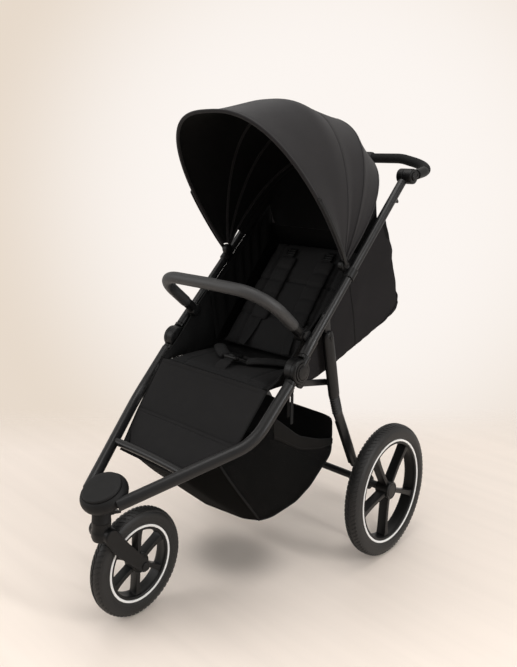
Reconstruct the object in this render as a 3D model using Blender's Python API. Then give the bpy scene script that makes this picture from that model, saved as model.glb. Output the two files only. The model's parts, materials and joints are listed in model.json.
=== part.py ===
"""Three-wheeled pushchair with a folding frame, in metres.

Front at -Y, the child's left at +X, floor at z = 0.

The frame folds at two hubs. The upper frame turns forward about them, the rear legs hang from the
upper tubes, and a link from each hub draws its leg up behind. The front caster swivels, the canopy,
the handlebar and the backrest tilt, and the rear axle rides on short sprung legs.
"""

import math

import bmesh
import bpy
from mathutils import Matrix, Vector

# Frame
CLEAR = 0.0003  # between pieces that seat on each other
RUN = 0.0004  # between faces that turn on each other
PIN_RUN = 0.0002  # round a pin in its bore
TUBE_R = 0.014
UPPER_R = 0.0115
TUBE_X = 0.217  # each side tube, from the middle
HUB_Y = -0.0735
HUB_Z = 0.570
TUBE_TILT = 43.4  # degrees above level, of the upper tubes
UPPER_SHIFT = 0.006  # the upper tubes' middle line, in front of the hub's axis
UPPER_LENGTH = 0.653  # hub axis to handle axis
HUB_R = 0.031
HOOK_BACK = 0.0809  # the fold catch on the left upper tube, from the handle's joint
SLEEVE_R = 0.0135
SLEEVE_LENGTH = 0.047
HUB_GAP = 0.0408  # hub axis to the end of each tube
HUB_IN = 0.020  # housing, inward from the tube's middle
HUB_OUT = 0.017  # cover, outward from the tube's middle
BEND_Y = -0.2211  # where each lower tube turns towards the head
BEND_X = 0.2093
BEND_R = 0.15
HEAD_Y = -0.50  # the caster's axis
TUBE_END = Vector((0.0540, -0.4956, 0.3211))  # where the left lower tube enters the head
HEAD_BACK = 0.009  # the middle of the nose, behind the caster's axis
HEAD_Z = 0.3275
HEAD_R = 0.0575
HEAD_HALF = 0.019
CAP_DEPTH = 0.0065
CROSS_Y = -0.362
CROSS_BOW = 0.004
CROSS_R = 0.009

MIDDLE_Y = 0.0005  # the middle of the whole length, moved to y = 0 at the end

# Wheels
REAR_Y = 0.26
REAR_R = 0.178
REAR_X = 0.270
REAR_RING_R = 0.140
FRONT_R = 0.128
FRONT_RING_R = 0.0916
TRAIL = 0.100
TYRE_W = 0.041
RING_W = 0.0058
BORE_R = 0.0062
AXLE_R = 0.0060
REAR_AXLE_R = 0.010
WHEEL_STEPS = 40
REAR_SPOKES = 5
REAR_TURN = -31.0  # degrees from the top towards the back, of the first spoke
FRONT_SPOKES = 6
FRONT_TURN = 3.0

# Caster
STEM_R = 0.0222
STEM_TOP = FRONT_R * 2 + 0.0095
STEM_LOW = STEM_TOP - 0.0295
FORK_X = 0.026  # inner face of each arm
FORK_W = 0.009
FORK_TOP_R = 0.019
FORK_KNEE_Y = 0.034  # behind the caster's axis
FORK_KNEE_Z = STEM_LOW - 0.039
FORK_KNEE_R = 0.0165
FORK_END_R = 0.0145
LOCK_LENGTH = 0.024

# Rear legs
LEG_X = 0.217
LEG_DROP = 0.0625  # leg pivot below the middle of the upper tube
LEG_Y = 0.0477
LEG_TILT = 78.0
TONGUE = 0.006
PIN_R = 0.0035
LEG_SLEEVE = 0.165  # pivot to the bottom of the sleeve
LEG_W = 0.036
LEG_D = 0.022
BELLOWS = 0.046
BELLOWS_RIBS = 6
LOWER_TILT = 63.0
LOWER_LENGTH = 0.215
LOWER_W = 0.030
LOWER_D = 0.018
LINK_ANCHOR_Y = 0.0315
LINK_ANCHOR_Z = -0.044
LINK_LEG = 0.130  # leg pivot to the link's free end
LINK_W = 0.016
LINK_T = 0.006

# Handle
HANDLE_ARM_X = 0.233
HANDLE_REACH = 0.131
HANDLE_TILT = 8.5
HANDLE_BEND = 0.070
HANDLE_RISE = 0.027
HANDLE_FLAT = 0.13  # half the length of the grip's level middle
GRIP_R = 0.0145
JOINT_R = 0.0215
BUTTON_R = 0.012
BUTTON_STEP = 0.004

# Bumper bar
BUMPER_Y = -0.023
BUMPER_RISE = 0.0192
BUMPER_X = 0.1882
BUMPER_REACH = 0.186
BUMPER_TILT = 140.0
BUMPER_R = 0.0155
BUMPER_BEND = 0.085
BUMPER_END = 0.040
BRACKET_X = 0.2030  # inner face of the bracket on each upper tube

# Canopy, as bows round one pivot: angle from +Y, height and half width
PIVOT_Y = 0.1275
PIVOT_RISE = 0.0346
RIM = (126.8, 0.486, 0.228)
BOW_A = (88.0, 0.410, 0.219)
BOW_B = (68.0, 0.413, 0.2215)
BOW_C = (48.0, 0.392, 0.222)
BACK = (40.5, 0.385, 0.2105)
CLOTH = 0.0024
BOW_POWER = 2.7
PINCH = 0.07  # how far each bow draws in at its foot, of its half width
BACK_LIFT = 7.0  # degrees that the middle of the rear edge lies above its ends
ARM_LENGTH = 0.215
ARM_T = 0.0026
ARM_X = 0.2140
CLIP_BAND = 0.030
CLIP_BAND_R = UPPER_R + 0.0035
CLIP_X = 0.2105  # outer face of the clip that each arm turns on

# Seat
SEAT_X = 0.180
SEAT_FRONT_Y = -0.146
SEAT_Z = HUB_Z - 0.034
SEAT_REAR_Y = 0.046
SEAT_THICK = 0.016
CALF_Y = -0.245
CALF_Z = HUB_Z - 0.153
CALF_X = 0.160
FOOT_X = 0.106
PANEL = 0.007
BACK_ANGLE = 49.0
BACK_LENGTH = 0.372
BACK_DROP = 0.0025
BACK_THICK = 0.026
BACK_X = 0.172
TUB_X = 0.199
TUB_LOW_X = 0.186
TUB_EDGE_X = 0.2108
FLAP_X = 0.190  # half the width of the cloth that closes the canopy's back
TUB_CORNER_Y = 0.418
TUB_CORNER_Z = HUB_Z + 0.070
TUB_TOP_Y = 0.322
TUB_TOP_Z = HUB_Z + 0.298
TUB_LOW_Y = 0.035
TUB_LOW_Z = SEAT_Z - SEAT_THICK - 0.0008
TUB_WALL = 0.003
PAD_X = 0.066
PAD_W = 0.056
PAD_LENGTH = 0.215
PAD_RIBS = 5

# Basket
BASKET_X = 0.196
BASKET_LOW_X = 0.160
BASKET_WALL = 0.003
BASKET_FLOOR_Z = 0.190
BASKET_REAR_Y = 0.106

UP = Vector((0, 0, 1))
ACROSS = Vector((1, 0, 0))
BLACK = (0.018, 0.018, 0.019)


def along(degrees):
    """The direction in the side view, from +Y towards +Z."""
    return Vector((0, math.cos(math.radians(degrees)), math.sin(math.radians(degrees))))


def on_tube(y, x=TUBE_X):
    """The point on an upper tube's middle line at this Y."""
    tilt = math.radians(TUBE_TILT)
    return Vector((x, y, HUB_Z + UPPER_SHIFT / math.cos(tilt) + (y - HUB_Y) * math.tan(tilt)))


HUB = Vector((0, HUB_Y, HUB_Z))
UPPER_FOOT = HUB + along(TUBE_TILT + 90) * UPPER_SHIFT
HANDLE = UPPER_FOOT + along(TUBE_TILT) * UPPER_LENGTH
PIVOT = on_tube(PIVOT_Y, 0) + UP * PIVOT_RISE
LEG_TOP = on_tube(LEG_Y, 0) - UP * LEG_DROP
BUMPER = on_tube(BUMPER_Y, 0) + UP * BUMPER_RISE
LINK = HUB + Vector((0, LINK_ANCHOR_Y, LINK_ANCHOR_Z))
LINK_FREE = LEG_TOP + along(-LEG_TILT) * LINK_LEG
KNEE = LEG_TOP + along(-LEG_TILT) * (LEG_SLEEVE + BELLOWS / 2)
LEG_FOOT = KNEE + along(-LOWER_TILT) * LOWER_LENGTH
REAR_AXLE = Vector((0, REAR_Y, REAR_R))
HEAD = Vector((0, HEAD_Y + HEAD_BACK, HEAD_Z))
FRONT_AXLE = Vector((0, HEAD_Y + TRAIL, FRONT_R))
HINGE = Vector((0, SEAT_REAR_Y, SEAT_Z))


def look(obj, colour, roughness, metallic=0.0):
    """Gives the object its own Principled material."""
    material = bpy.data.materials.new(obj.name)
    material.use_nodes = True
    shader = material.node_tree.nodes["Principled BSDF"]
    shader.inputs["Base Color"].default_value = (*colour, 1.0)
    shader.inputs["Roughness"].default_value = roughness
    shader.inputs["Metallic"].default_value = metallic
    material.diffuse_color = (*colour, 1.0)
    obj.data.materials.append(material)


def place(name, bm, origin, helper=False):
    """Turns the bmesh into an object whose origin lies at the given point."""
    bmesh.ops.recalc_face_normals(bm, faces=bm.faces)
    bmesh.ops.translate(bm, verts=bm.verts, vec=-Vector(origin))
    mesh = bpy.data.meshes.new(name)
    bm.to_mesh(mesh)
    bm.free()
    obj = bpy.data.objects.new(name, mesh)
    obj.location = origin
    bpy.context.scene.collection.objects.link(obj)
    if helper:
        obj.hide_render = True
        obj.display_type = "WIRE"
    else:
        mesh.shade_smooth()
        mesh.set_sharp_from_angle(angle=math.radians(38))
    return obj


def combine(obj, helper, operation):
    """Adds an exact Boolean to the object."""
    step = obj.modifiers.new(helper.name, "BOOLEAN")
    step.operation = operation
    step.solver = "EXACT"
    step.object = helper


def circle(centre, axis, radius, steps, squeeze=1.0, wide=UP):
    """A ring of points round the axis. squeeze flattens it across the wide direction."""
    axis = Vector(axis).normalized()
    first = (wide - axis * wide.dot(axis)).normalized()
    second = axis.cross(first)
    turns = (2 * math.pi * i / steps for i in range(steps))
    return [centre + first * radius * math.cos(t) + second * radius * squeeze * math.sin(t) for t in turns]


def skin(bm, rings, closed=False):
    """Joins rings of equal length by quads, with a cap on each end or the last joined to the first."""
    made = [[bm.verts.new(p) for p in ring] for ring in rings]
    pairs = list(zip(made[:-1], made[1:]))
    if closed:
        pairs.append((made[-1], made[0]))
    for low, high in pairs:
        count = len(low)
        for i in range(count):
            j = (i + 1) % count
            bm.faces.new((low[i], low[j], high[j], high[i]))
    if not closed:
        bm.faces.new(made[0])
        bm.faces.new(made[-1])


def turned(profile, centre, axis, steps, closed=False):
    """A solid turned from (radius, distance along the axis) points."""
    bm = bmesh.new()
    axis = Vector(axis).normalized()
    wide = UP if abs(axis.z) < 0.9 else ACROSS
    skin(bm, [circle(centre + axis * h, axis, r, steps, wide=wide) for r, h in profile], closed)
    return bm


def tangents(path):
    """The direction of the path at each point."""
    last = len(path) - 1
    return [(path[min(i + 1, last)] - path[max(i - 1, 0)]).normalized() for i in range(last + 1)]


def swept(path, width, depth, steps, wide=ACROSS, swell=None):
    """A rod along the path with an oval section: width along the wide direction, depth across it."""
    bm = bmesh.new()
    rings = []
    for i, (point, axis) in enumerate(zip(path, tangents(path))):
        grow = swell(i / (len(path) - 1)) if swell else 1.0
        rings.append(circle(point, axis, width * grow, steps, depth / width, wide))
    skin(bm, rings)
    return bm


def slab(outline, normal, thickness):
    """A plate from a flat outline, grown along the normal."""
    bm = bmesh.new()
    shift = Vector(normal).normalized() * thickness
    skin(bm, [list(outline), [p + shift for p in outline]])
    return bm


def strap(first, first_r, second, second_r, normal, thickness, steps=7):
    """A plate shaped like a belt round two circles, grown along the normal."""
    normal = Vector(normal).normalized()
    way = (second - first).normalized()
    side = normal.cross(way)
    lean = math.asin((first_r - second_r) / (second - first).length)
    outline = []
    for centre, radius, start, end in (
        (second, second_r, -math.pi / 2 + lean, math.pi / 2 - lean),
        (first, first_r, math.pi / 2 - lean, 3 * math.pi / 2 + lean),
    ):
        for k in range(steps + 1):
            t = start + (end - start) * k / steps
            outline.append(centre + (way * math.cos(t) + side * math.sin(t)) * radius)
    return slab(outline, normal, thickness)


def filleted(points, radii, steps=7):
    """The path through the points with an arc of each radius at each inner corner."""
    path = [points[0]]
    for before, corner, after, radius in zip(points, points[1:], points[2:], radii):
        into = (before - corner).normalized()
        out = (after - corner).normalized()
        half = into.angle(out) / 2
        middle = corner + (into + out).normalized() * radius / math.sin(half)
        start = corner + into * radius / math.tan(half) - middle
        end = corner + out * radius / math.tan(half) - middle
        turn = start.angle(end)
        path += [
            middle + (start * math.sin(turn * (1 - t)) + end * math.sin(turn * t)) / math.sin(turn)
            for t in (k / steps for k in range(steps + 1))
        ]
    return path + [points[-1]]


def resampled(path, count):
    """The path again, with its points evenly spaced."""
    lengths = [0.0]
    for a, b in zip(path, path[1:]):
        lengths.append(lengths[-1] + (b - a).length)
    made = []
    for k in range(count):
        want = lengths[-1] * k / (count - 1)
        i = max(j for j in range(len(path) - 1) if lengths[j] <= want + 1e-12)
        part = (want - lengths[i]) / (lengths[i + 1] - lengths[i])
        made.append(path[i].lerp(path[i + 1], part))
    return made


def mirrored(points):
    return [Vector((-p.x, p.y, p.z)) for p in points]


def rounded_box(size, centre, turn=None, bevel=0.003, segments=2):
    """A box with rounded edges."""
    bm = bmesh.new()
    bmesh.ops.create_cube(bm, size=1.0, matrix=Matrix.Diagonal((*size, 1.0)))
    bmesh.ops.bevel(bm, geom=bm.edges, offset=bevel, segments=segments, profile=0.5, affect="EDGES")
    place_at = Matrix.Translation(centre) @ (turn.to_4x4() if turn else Matrix.Identity(4))
    bmesh.ops.transform(bm, matrix=place_at, verts=bm.verts)
    return bm


def add_pin(obj, bored, name, centre, axis, radius, start, end):
    """A pin on obj from start to end along the axis, and the bore that it turns in through bored."""
    pin = turned([(radius, start), (radius, end)], centre, axis, 12)
    combine(obj, place(name, pin, centre, helper=True), "UNION")
    hole = turned([(radius + PIN_RUN, start), (radius + PIN_RUN, end + 0.001)], centre, axis, 12)
    combine(bored, place(f"{name}_bore", hole, centre, helper=True), "DIFFERENCE")


def sheet(name, grid, thickness, colour, roughness, origin):
    """A closed skin of cloth from a grid of points, its thickness shared between both faces."""
    bm = bmesh.new()
    rows = [[bm.verts.new(p) for p in row] for row in grid]
    for low, high in zip(rows, rows[1:]):
        for i in range(len(low) - 1):
            bm.faces.new((low[i], low[i + 1], high[i + 1], high[i]))
    obj = place(name, bm, origin)
    look(obj, colour, roughness)
    thick = obj.modifiers.new("Thickness", "SOLIDIFY")
    thick.thickness = thickness
    thick.offset = 0.0
    return obj


def sides():
    """Each side's name and sign: the child's left is +X."""
    return (("left", 1), ("right", -1))


def at_side(point, x, sign):
    return Vector((x * sign, point.y, point.z))


def lower_tube_path():
    """From the hub down the frame and in to the head, on the left."""
    start = at_side(HUB - along(TUBE_TILT) * HUB_GAP, TUBE_X, 1)
    drop = (BEND_Y - HUB_Y) * math.tan(math.radians(TUBE_TILT))
    bend = Vector((BEND_X, BEND_Y, HUB_Z + drop))
    return filleted([start, bend, TUBE_END], [BEND_R])


def lower_tube_at(y):
    """The left lower tube's middle line where it passes this Y."""
    path = lower_tube_path()
    for a, b in zip(path, path[1:]):
        if b.y <= y <= a.y:
            return a.lerp(b, (a.y - y) / (a.y - b.y))
    return path[-1]


def make_lower_tubes():
    for side, sign in sides():
        path = lower_tube_path()
        path = path if sign > 0 else mirrored(path)
        obj = place(f"lower_tube_{side}", swept(path, TUBE_R, TUBE_R, 12), at_side(HUB, TUBE_X, sign))
        look(obj, BLACK, 0.32, 0.6)


def make_upper_tubes():
    """Each upper tube, with the tongue under it that carries the rear leg."""
    for side, sign in sides():
        start = at_side(UPPER_FOOT + along(TUBE_TILT) * HUB_GAP, TUBE_X, sign)
        end = at_side(HANDLE - along(TUBE_TILT) * (JOINT_R + CLEAR), TUBE_X, sign)
        tube = swept([start, end], UPPER_R, UPPER_R, 12)
        obj = place(f"upper_tube_{side}", tube, at_side(HUB, TUBE_X, sign))
        stop = start + along(TUBE_TILT) * SLEEVE_LENGTH
        sleeve = swept([start, stop - along(TUBE_TILT) * 0.002, stop], SLEEVE_R, SLEEVE_R, 14)
        combine(obj, place(f"tube_sleeve_{side}", sleeve, start, helper=True), "UNION")
        look(obj, BLACK, 0.32, 0.6)
        top = at_side(on_tube(LEG_Y - 0.010), LEG_X - TONGUE / 2, sign)
        low = at_side(LEG_TOP, LEG_X - TONGUE / 2, sign)
        tongue = strap(top, 0.013, low, 0.0095, ACROSS * sign, TONGUE)
        combine(obj, place(f"tongue_{side}", tongue, low, helper=True), "UNION")
        hole = turned([(PIN_R + CLEAR, -0.02), (PIN_R + CLEAR, 0.02)], low, ACROSS, 12)
        combine(obj, place(f"tongue_hole_{side}", hole, low, helper=True), "DIFFERENCE")
        if side == "left":
            root = at_side(HANDLE - along(TUBE_TILT) * HOOK_BACK, TUBE_X - 0.004, sign)
            tip = root - along(90 + TUBE_TILT) * 0.021 + along(TUBE_TILT) * 0.004
            hook = strap(root, 0.008, tip, 0.0042, ACROSS, 0.008)
            combine(obj, place("fold_hook", hook, root, helper=True), "UNION")


def make_hubs():
    """The fold joint: a housing on the lower tube and a cover on the upper one, face to face."""
    face = 0.002
    for side, sign in sides():
        centre = at_side(HUB, TUBE_X, sign)
        axis = ACROSS * sign
        profile = [
            (HUB_R * 0.80, -HUB_IN),
            (HUB_R, -HUB_IN + 0.004),
            (HUB_R, face - 0.0005),
            (HUB_R * 0.9, face - 0.0005),
        ]
        housing = place(f"hub_housing_{side}", turned(profile, centre, axis, 28), centre)
        look(housing, BLACK, 0.45)
        add_neck(housing, f"lower_neck_{side}", centre, -along(TUBE_TILT), axis * -0.0095, 0.0)
        anchor = at_side(LINK, TUBE_X - HUB_IN, sign)
        lobe = strap(at_side(HUB, TUBE_X - HUB_IN, sign), 0.020, anchor, 0.010, axis, 0.009)
        combine(housing, place(f"link_boss_{side}", lobe, anchor, helper=True), "UNION")
        make_strap_eye(side, sign, housing)
        profile = [
            (HUB_R * 0.9, face),
            (HUB_R, face),
            (HUB_R, HUB_OUT - 0.005),
            (HUB_R * 0.86, HUB_OUT),
            (HUB_R * 0.74, HUB_OUT),
            (HUB_R * 0.70, HUB_OUT - 0.002),
            (HUB_R * 0.60, HUB_OUT - 0.002),
            (HUB_R * 0.52, HUB_OUT + 0.002),
        ]
        cover = place(f"hub_cover_{side}", turned(profile, centre, axis, 28), centre)
        look(cover, BLACK, 0.38)
        add_neck(cover, f"upper_neck_{side}", centre, along(TUBE_TILT), axis * 0.0102, UPPER_SHIFT)


def add_neck(obj, name, centre, way, shift, lift):
    """The socket between a hub disc and its tube: beside the other disc, then as wide as the tube."""
    centre = centre + along(TUBE_TILT + 90) * lift
    end = HUB_GAP - 0.0008
    inner = swept([centre + shift + way * 0.018, centre + shift + way * end], 0.0082, 0.0082, 10)
    combine(obj, place(name, inner, centre, helper=True), "UNION")
    outer = swept([centre + way * (HUB_R + 0.0006), centre + way * end], 0.0125, 0.0125, 12)
    combine(obj, place(f"{name}_ring", outer, centre, helper=True), "UNION")


def strap_eye(sign):
    """The middle of the eye under a hub."""
    return at_side(HUB + Vector((0, -0.008, -0.052)), TUBE_X - HUB_IN + 0.006, sign)


def make_strap_eye(side, sign, housing):
    """The eye under the hub that a webbing strap hangs from."""
    centre = strap_eye(sign)
    eye = turned([(0.0125, -0.0025), (0.0125, 0.0025)], centre, ACROSS, 16)
    combine(housing, place(f"eye_{side}", eye, centre, helper=True), "UNION")
    arm = rounded_box((0.005, 0.016, 0.030), centre + Vector((0, 0.003, 0.020)), bevel=0.001, segments=1)
    combine(housing, place(f"eye_arm_{side}", arm, centre, helper=True), "UNION")
    hole = turned([(0.0068, -0.02), (0.0068, 0.02)], centre, ACROSS, 12)
    combine(housing, place(f"eye_hole_{side}", hole, centre, helper=True), "DIFFERENCE")


def make_head():
    """The rounded nose that joins the lower tubes and holds the caster, with its cap."""
    slope = lower_tube_at(BEND_Y - 0.1) - TUBE_END
    axis = along(90 + math.degrees(math.atan2(slope.z, slope.y)))
    profile = [
        (HEAD_R + HEAD_HALF * (math.cos(t) - 1), HEAD_HALF * math.sin(t))
        for t in (math.radians(-90 + 18 * k) for k in range(9))
    ]
    profile = [(HEAD_R * 0.45, -HEAD_HALF * 1.15)] + profile
    head = place("front_head", turned(profile, HEAD, axis, 30), HEAD)
    look(head, BLACK, 0.5)
    neck = [(STEM_R * 0.98, STEM_TOP + CLEAR), (STEM_R * 0.98, HEAD_Z - 0.005)]
    collar = turned(neck, Vector((0, HEAD_Y, 0)), UP, 22)
    combine(head, place("head_collar", collar, HEAD, helper=True), "UNION")
    for side, sign in sides():
        path = lower_tube_path()[-2:]
        path[-1] = path[-1] + (path[-1] - path[-2]).normalized() * CLEAR
        path = path if sign > 0 else mirrored(path)
        bore = swept(path, TUBE_R + CLEAR, TUBE_R + CLEAR, 12)
        combine(head, place(f"head_socket_{side}", bore, HEAD, helper=True), "DIFFERENCE")
    top, base = profile[-1]
    top = top - 0.0022
    profile = [
        (top * 0.96, base + CLEAR),
        (top, base + CLEAR + 0.0010),
        (top - 0.0010, base + CAP_DEPTH * 0.75),
        (top - 0.0045, base + CAP_DEPTH),
        (top * 0.35, base + CAP_DEPTH * 1.12),
    ]
    cap = place("head_cap", turned(profile, HEAD, axis, 30), HEAD)
    look(cap, BLACK, 0.55)


def crossbar_path():
    """The crossbar's middle line, between the middles of the lower tubes."""
    left = lower_tube_at(CROSS_Y)
    shares = (1 - k / 5 for k in range(11))
    return [Vector((left.x * k, CROSS_Y, left.z + CROSS_BOW * (1 - k**2))) for k in shares]


def make_crossbar():
    """The bar between the lower tubes, its ends shaped to meet them."""
    path = crossbar_path()
    obj = place("front_crossbar", swept(path, CROSS_R, CROSS_R * 1.15, 12, wide=UP), path[5])
    look(obj, BLACK, 0.4, 0.4)
    for side, sign in sides():
        path = lower_tube_path()[-2:]
        path = path if sign > 0 else mirrored(path)
        tube = swept(path, TUBE_R + CLEAR, TUBE_R + CLEAR, 12)
        combine(obj, place(f"crossbar_cope_{side}", tube, HEAD, helper=True), "DIFFERENCE")


def tyre_profile(radius, bed):
    """A tyre's section, closed, from one bead round the tread to the other."""
    half = TYRE_W / 2
    side = [
        (bed, half * 0.84),
        (bed + (radius - bed) * 0.22, half * 0.97),
        (bed + (radius - bed) * 0.48, half),
        (bed + (radius - bed) * 0.74, half * 0.86),
        (bed + (radius - bed) * 0.92, half * 0.55),
        (radius, half * 0.20),
    ]
    return side + [(r, -h) for r, h in reversed(side)]


def make_wheel(name, centre, radius, ring, spokes, turn, outer, hub_half, bore_end):
    """A tyre, a rim with deep spokes and the pale ring on its edge. outer is the side that shows."""
    axis = ACROSS * outer
    bed = ring - RING_W
    face = TYRE_W * 0.42
    tyre = turned(tyre_profile(radius, ring + CLEAR * 2), centre, axis, WHEEL_STEPS, closed=True)
    look(place(f"{name}_tyre", tyre, centre), (0.022, 0.022, 0.022), 0.85)
    low, high = face - 0.003, face + 0.001
    section = [(bed + CLEAR, low), (ring, low), (ring, high), (bed + CLEAR, high)]
    band = turned(section, centre, axis, WHEEL_STEPS, closed=True)
    look(place(f"{name}_ring", band, centre), (0.80, 0.81, 0.82), 0.35)
    section = [
        (bed, -face),
        (bed, face),
        (bed - 0.0035, face + 0.0006),
        (bed - 0.0070, face - 0.003),
        (bed - 0.0055, 0.0),
        (bed - 0.0070, -face + 0.003),
        (bed - 0.0035, -face - 0.0006),
    ]
    rim = place(f"{name}_rim", turned(section, centre, axis, WHEEL_STEPS, closed=True), centre)
    look(rim, BLACK, 0.42)
    profile = [
        (0.0185, -hub_half),
        (0.0225, -hub_half + 0.003),
        (0.0225, face - 0.005),
        (0.0235, face - 0.003),
        (0.0235, face + 0.0005),
        (0.0215, face + 0.002),
    ]
    combine(rim, place(f"{name}_hub", turned(profile, centre, axis, 20), centre, helper=True), "UNION")
    for k in range(spokes):
        angle = math.radians(turn) + 2 * math.pi * k / spokes
        spoke = make_spoke(centre, bed - 0.0045, angle, face - 0.003, outer)
        combine(rim, place(f"{name}_spoke_{k}", spoke, centre, helper=True), "UNION")
    bore = turned([(BORE_R, -0.05), (BORE_R, bore_end)], centre, axis, 14)
    combine(rim, place(f"{name}_bore", bore, centre, helper=True), "DIFFERENCE")


def make_spoke(centre, reach, turn, deep, outer):
    """A spoke like a web: thin in the wheel's plane, as deep as the rim, spread where it meets it."""
    bm = bmesh.new()
    out = Vector((0, math.sin(turn), math.cos(turn)))
    side = ACROSS.cross(out)
    rings = []
    for share in (0.0, 0.25, 0.75, 0.92, 1.0):
        point = centre + out * (0.016 + (reach - 0.016) * share)
        wide = 0.0052 + 0.0012 * share + 0.0045 * share**14
        front = ACROSS * outer * deep * (0.93 - 0.16 * math.sin(math.pi * share))
        back = ACROSS * outer * -deep
        inner = side * wide * 0.72
        inside = [point - inner + back, point + inner + back]
        rings.append(inside + [point + side * wide + front, point - side * wide + front])
    skin(bm, rings)
    return bm


def make_wheels():
    for side, sign in sides():
        centre = at_side(REAR_AXLE, REAR_X, sign)
        sizes = REAR_R, REAR_RING_R, REAR_SPOKES, REAR_TURN
        make_wheel(f"rear_wheel_{side}", centre, *sizes, sign, 0.022, 0.014)
    make_wheel("front_wheel", FRONT_AXLE, FRONT_R, FRONT_RING_R, FRONT_SPOKES, FRONT_TURN, 1, 0.020, 0.05)


def make_fork():
    """The caster: a round crown, two bent arms that trail to the axle, and the axle itself."""
    profile = [
        (STEM_R * 0.96, STEM_LOW - 0.014),
        (STEM_R + 0.002, STEM_LOW - 0.006),
        (STEM_R + 0.002, STEM_LOW + 0.006),
        (STEM_R, STEM_LOW + 0.012),
        (STEM_R, STEM_TOP),
    ]
    origin = Vector((0, HEAD_Y, STEM_TOP))
    fork = place("caster_fork", turned(profile, Vector((0, HEAD_Y, 0)), UP, 22), origin)
    look(fork, BLACK, 0.5)
    outside = FORK_X + FORK_W
    crown = Vector((0, HEAD_Y + 0.006, STEM_LOW))
    knee = Vector((0, HEAD_Y + FORK_KNEE_Y, FORK_KNEE_Z))
    shoulder = turned(
        [
            (FORK_TOP_R * 0.85, -outside),
            (FORK_TOP_R, -outside * 0.8),
            (FORK_TOP_R, outside * 0.8),
            (FORK_TOP_R * 0.85, outside),
        ],
        crown,
        ACROSS,
        18,
    )
    combine(fork, place("fork_shoulder", shoulder, origin, helper=True), "UNION")
    for name, sign in sides():
        inner = ACROSS * sign * FORK_X
        upper = strap(crown + inner, FORK_TOP_R * 0.97, knee + inner, FORK_KNEE_R, ACROSS * sign, FORK_W)
        combine(fork, place(f"fork_upper_{name}", upper, origin, helper=True), "UNION")
        lower = strap(knee + inner, FORK_KNEE_R, FRONT_AXLE + inner, FORK_END_R, ACROSS * sign, FORK_W)
        combine(fork, place(f"fork_lower_{name}", lower, origin, helper=True), "UNION")
    room = turned([(FRONT_R + 0.006, -FORK_X), (FRONT_R + 0.006, FORK_X)], FRONT_AXLE, ACROSS, 30)
    combine(fork, place("fork_room", room, origin, helper=True), "DIFFERENCE")
    cap = outside + 0.0025
    profile = [(0.010, -cap), (0.010, -FORK_X - 0.001), (AXLE_R, -FORK_X - 0.001)]
    profile += [(r, -h) for r, h in reversed(profile)]
    combine(fork, place("fork_axle", turned(profile, FRONT_AXLE, ACROSS, 16), origin, helper=True), "UNION")


def make_swivel_lock():
    """The lever behind the head's collar that locks the caster straight, between two lugs."""
    head = bpy.data.objects["front_head"]
    room = HEAD_Z - HEAD_HALF - STEM_TOP
    hinge = Vector((0, HEAD_Y + STEM_R + 0.0050, STEM_TOP + room * 0.28))
    tip = hinge + Vector((0, LOCK_LENGTH * 0.94, -LOCK_LENGTH * 0.30))
    side = ACROSS * -0.007
    lever = place("swivel_lock", strap(hinge + side, 0.0042, tip + side, 0.0022, ACROSS, 0.014), hinge)
    look(lever, BLACK, 0.5)
    root = Vector((0, HEAD_Y + STEM_R - 0.006, hinge.z + 0.003))
    for name, sign in sides():
        inner = ACROSS * sign * (0.007 + RUN)
        lug = strap(root + inner, 0.005, hinge + inner, 0.004, ACROSS * sign, 0.0022)
        combine(head, place(f"lock_lug_{name}", lug, hinge, helper=True), "UNION")
    add_pin(head, lever, "lock_pin", hinge, ACROSS, 0.0018, -0.008, 0.008)


def leg_ring(centre, axis, half_width, half_depth, steps=14):
    """A leg's oval section: half_width in the side view, half_depth across."""
    return circle(centre, axis, half_depth, steps, half_width / half_depth, ACROSS)


def make_legs():
    """Each rear leg: a sleeve forked round its tongue, the ribbed bellows and the lower leg."""
    down = along(-LEG_TILT)
    for side, sign in sides():
        top = at_side(LEG_TOP, LEG_X, sign)
        rings = []
        for distance, wide, deep in (
            (-0.0165, 0.40, 0.88),
            (-0.0135, 0.74, 0.96),
            (-0.0050, 0.98, 1.0),
            (0.100, 1.0, 1.0),
            (LEG_SLEEVE - 0.006, 0.95, 1.0),
            (LEG_SLEEVE, 0.86, 0.9),
        ):
            rings.append(leg_ring(top + down * distance, down, LEG_W / 2 * wide, LEG_D / 2 * deep))
        bm = bmesh.new()
        skin(bm, rings)
        sleeve = place(f"leg_sleeve_{side}", bm, top)
        look(sleeve, BLACK, 0.48)
        half = TONGUE / 2 + CLEAR
        mouth = top - ACROSS * half
        slot = strap(mouth, 0.0125, mouth - down * 0.05, 0.0125, ACROSS, half * 2)
        combine(sleeve, place(f"leg_slot_{side}", slot, top, helper=True), "DIFFERENCE")
        wide = rounded_slot(top, down, half)
        combine(sleeve, place(f"leg_slot_room_{side}", wide, top, helper=True), "DIFFERENCE")
        head = LEG_D / 2 + 0.0012
        profile = [(0.0060, -head), (0.0060, -half - 0.001), (PIN_R, -half - 0.001)]
        profile += [(r, -h) for r, h in reversed(profile)]
        pin = place(f"leg_pin_{side}", turned(profile, top, ACROSS, 14), top, helper=True)
        combine(sleeve, pin, "UNION")
        profile = [(0.0072, LEG_D / 2 - 0.002), (0.0072, LEG_X - TUBE_X + HUB_IN)]
        knuckle = turned(profile, at_side(LINK_FREE, LEG_X, sign), ACROSS * -sign, 14)
        combine(sleeve, place(f"link_knuckle_{side}", knuckle, top, helper=True), "UNION")
        make_bellows(side, sign)
        make_lower_leg(side, sign)


def rounded_slot(top, down, half):
    """Room for the tongue in front of the pivot and behind it, as the leg turns."""
    side = down.cross(ACROSS)
    corners = [top - side * 0.03 + down * 0.0125, top + side * 0.03 + down * 0.0125]
    corners += [top + side * 0.03 - down * 0.03, top - side * 0.03 - down * 0.03]
    return slab([p - ACROSS * half for p in corners], ACROSS, half * 2)


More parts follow.
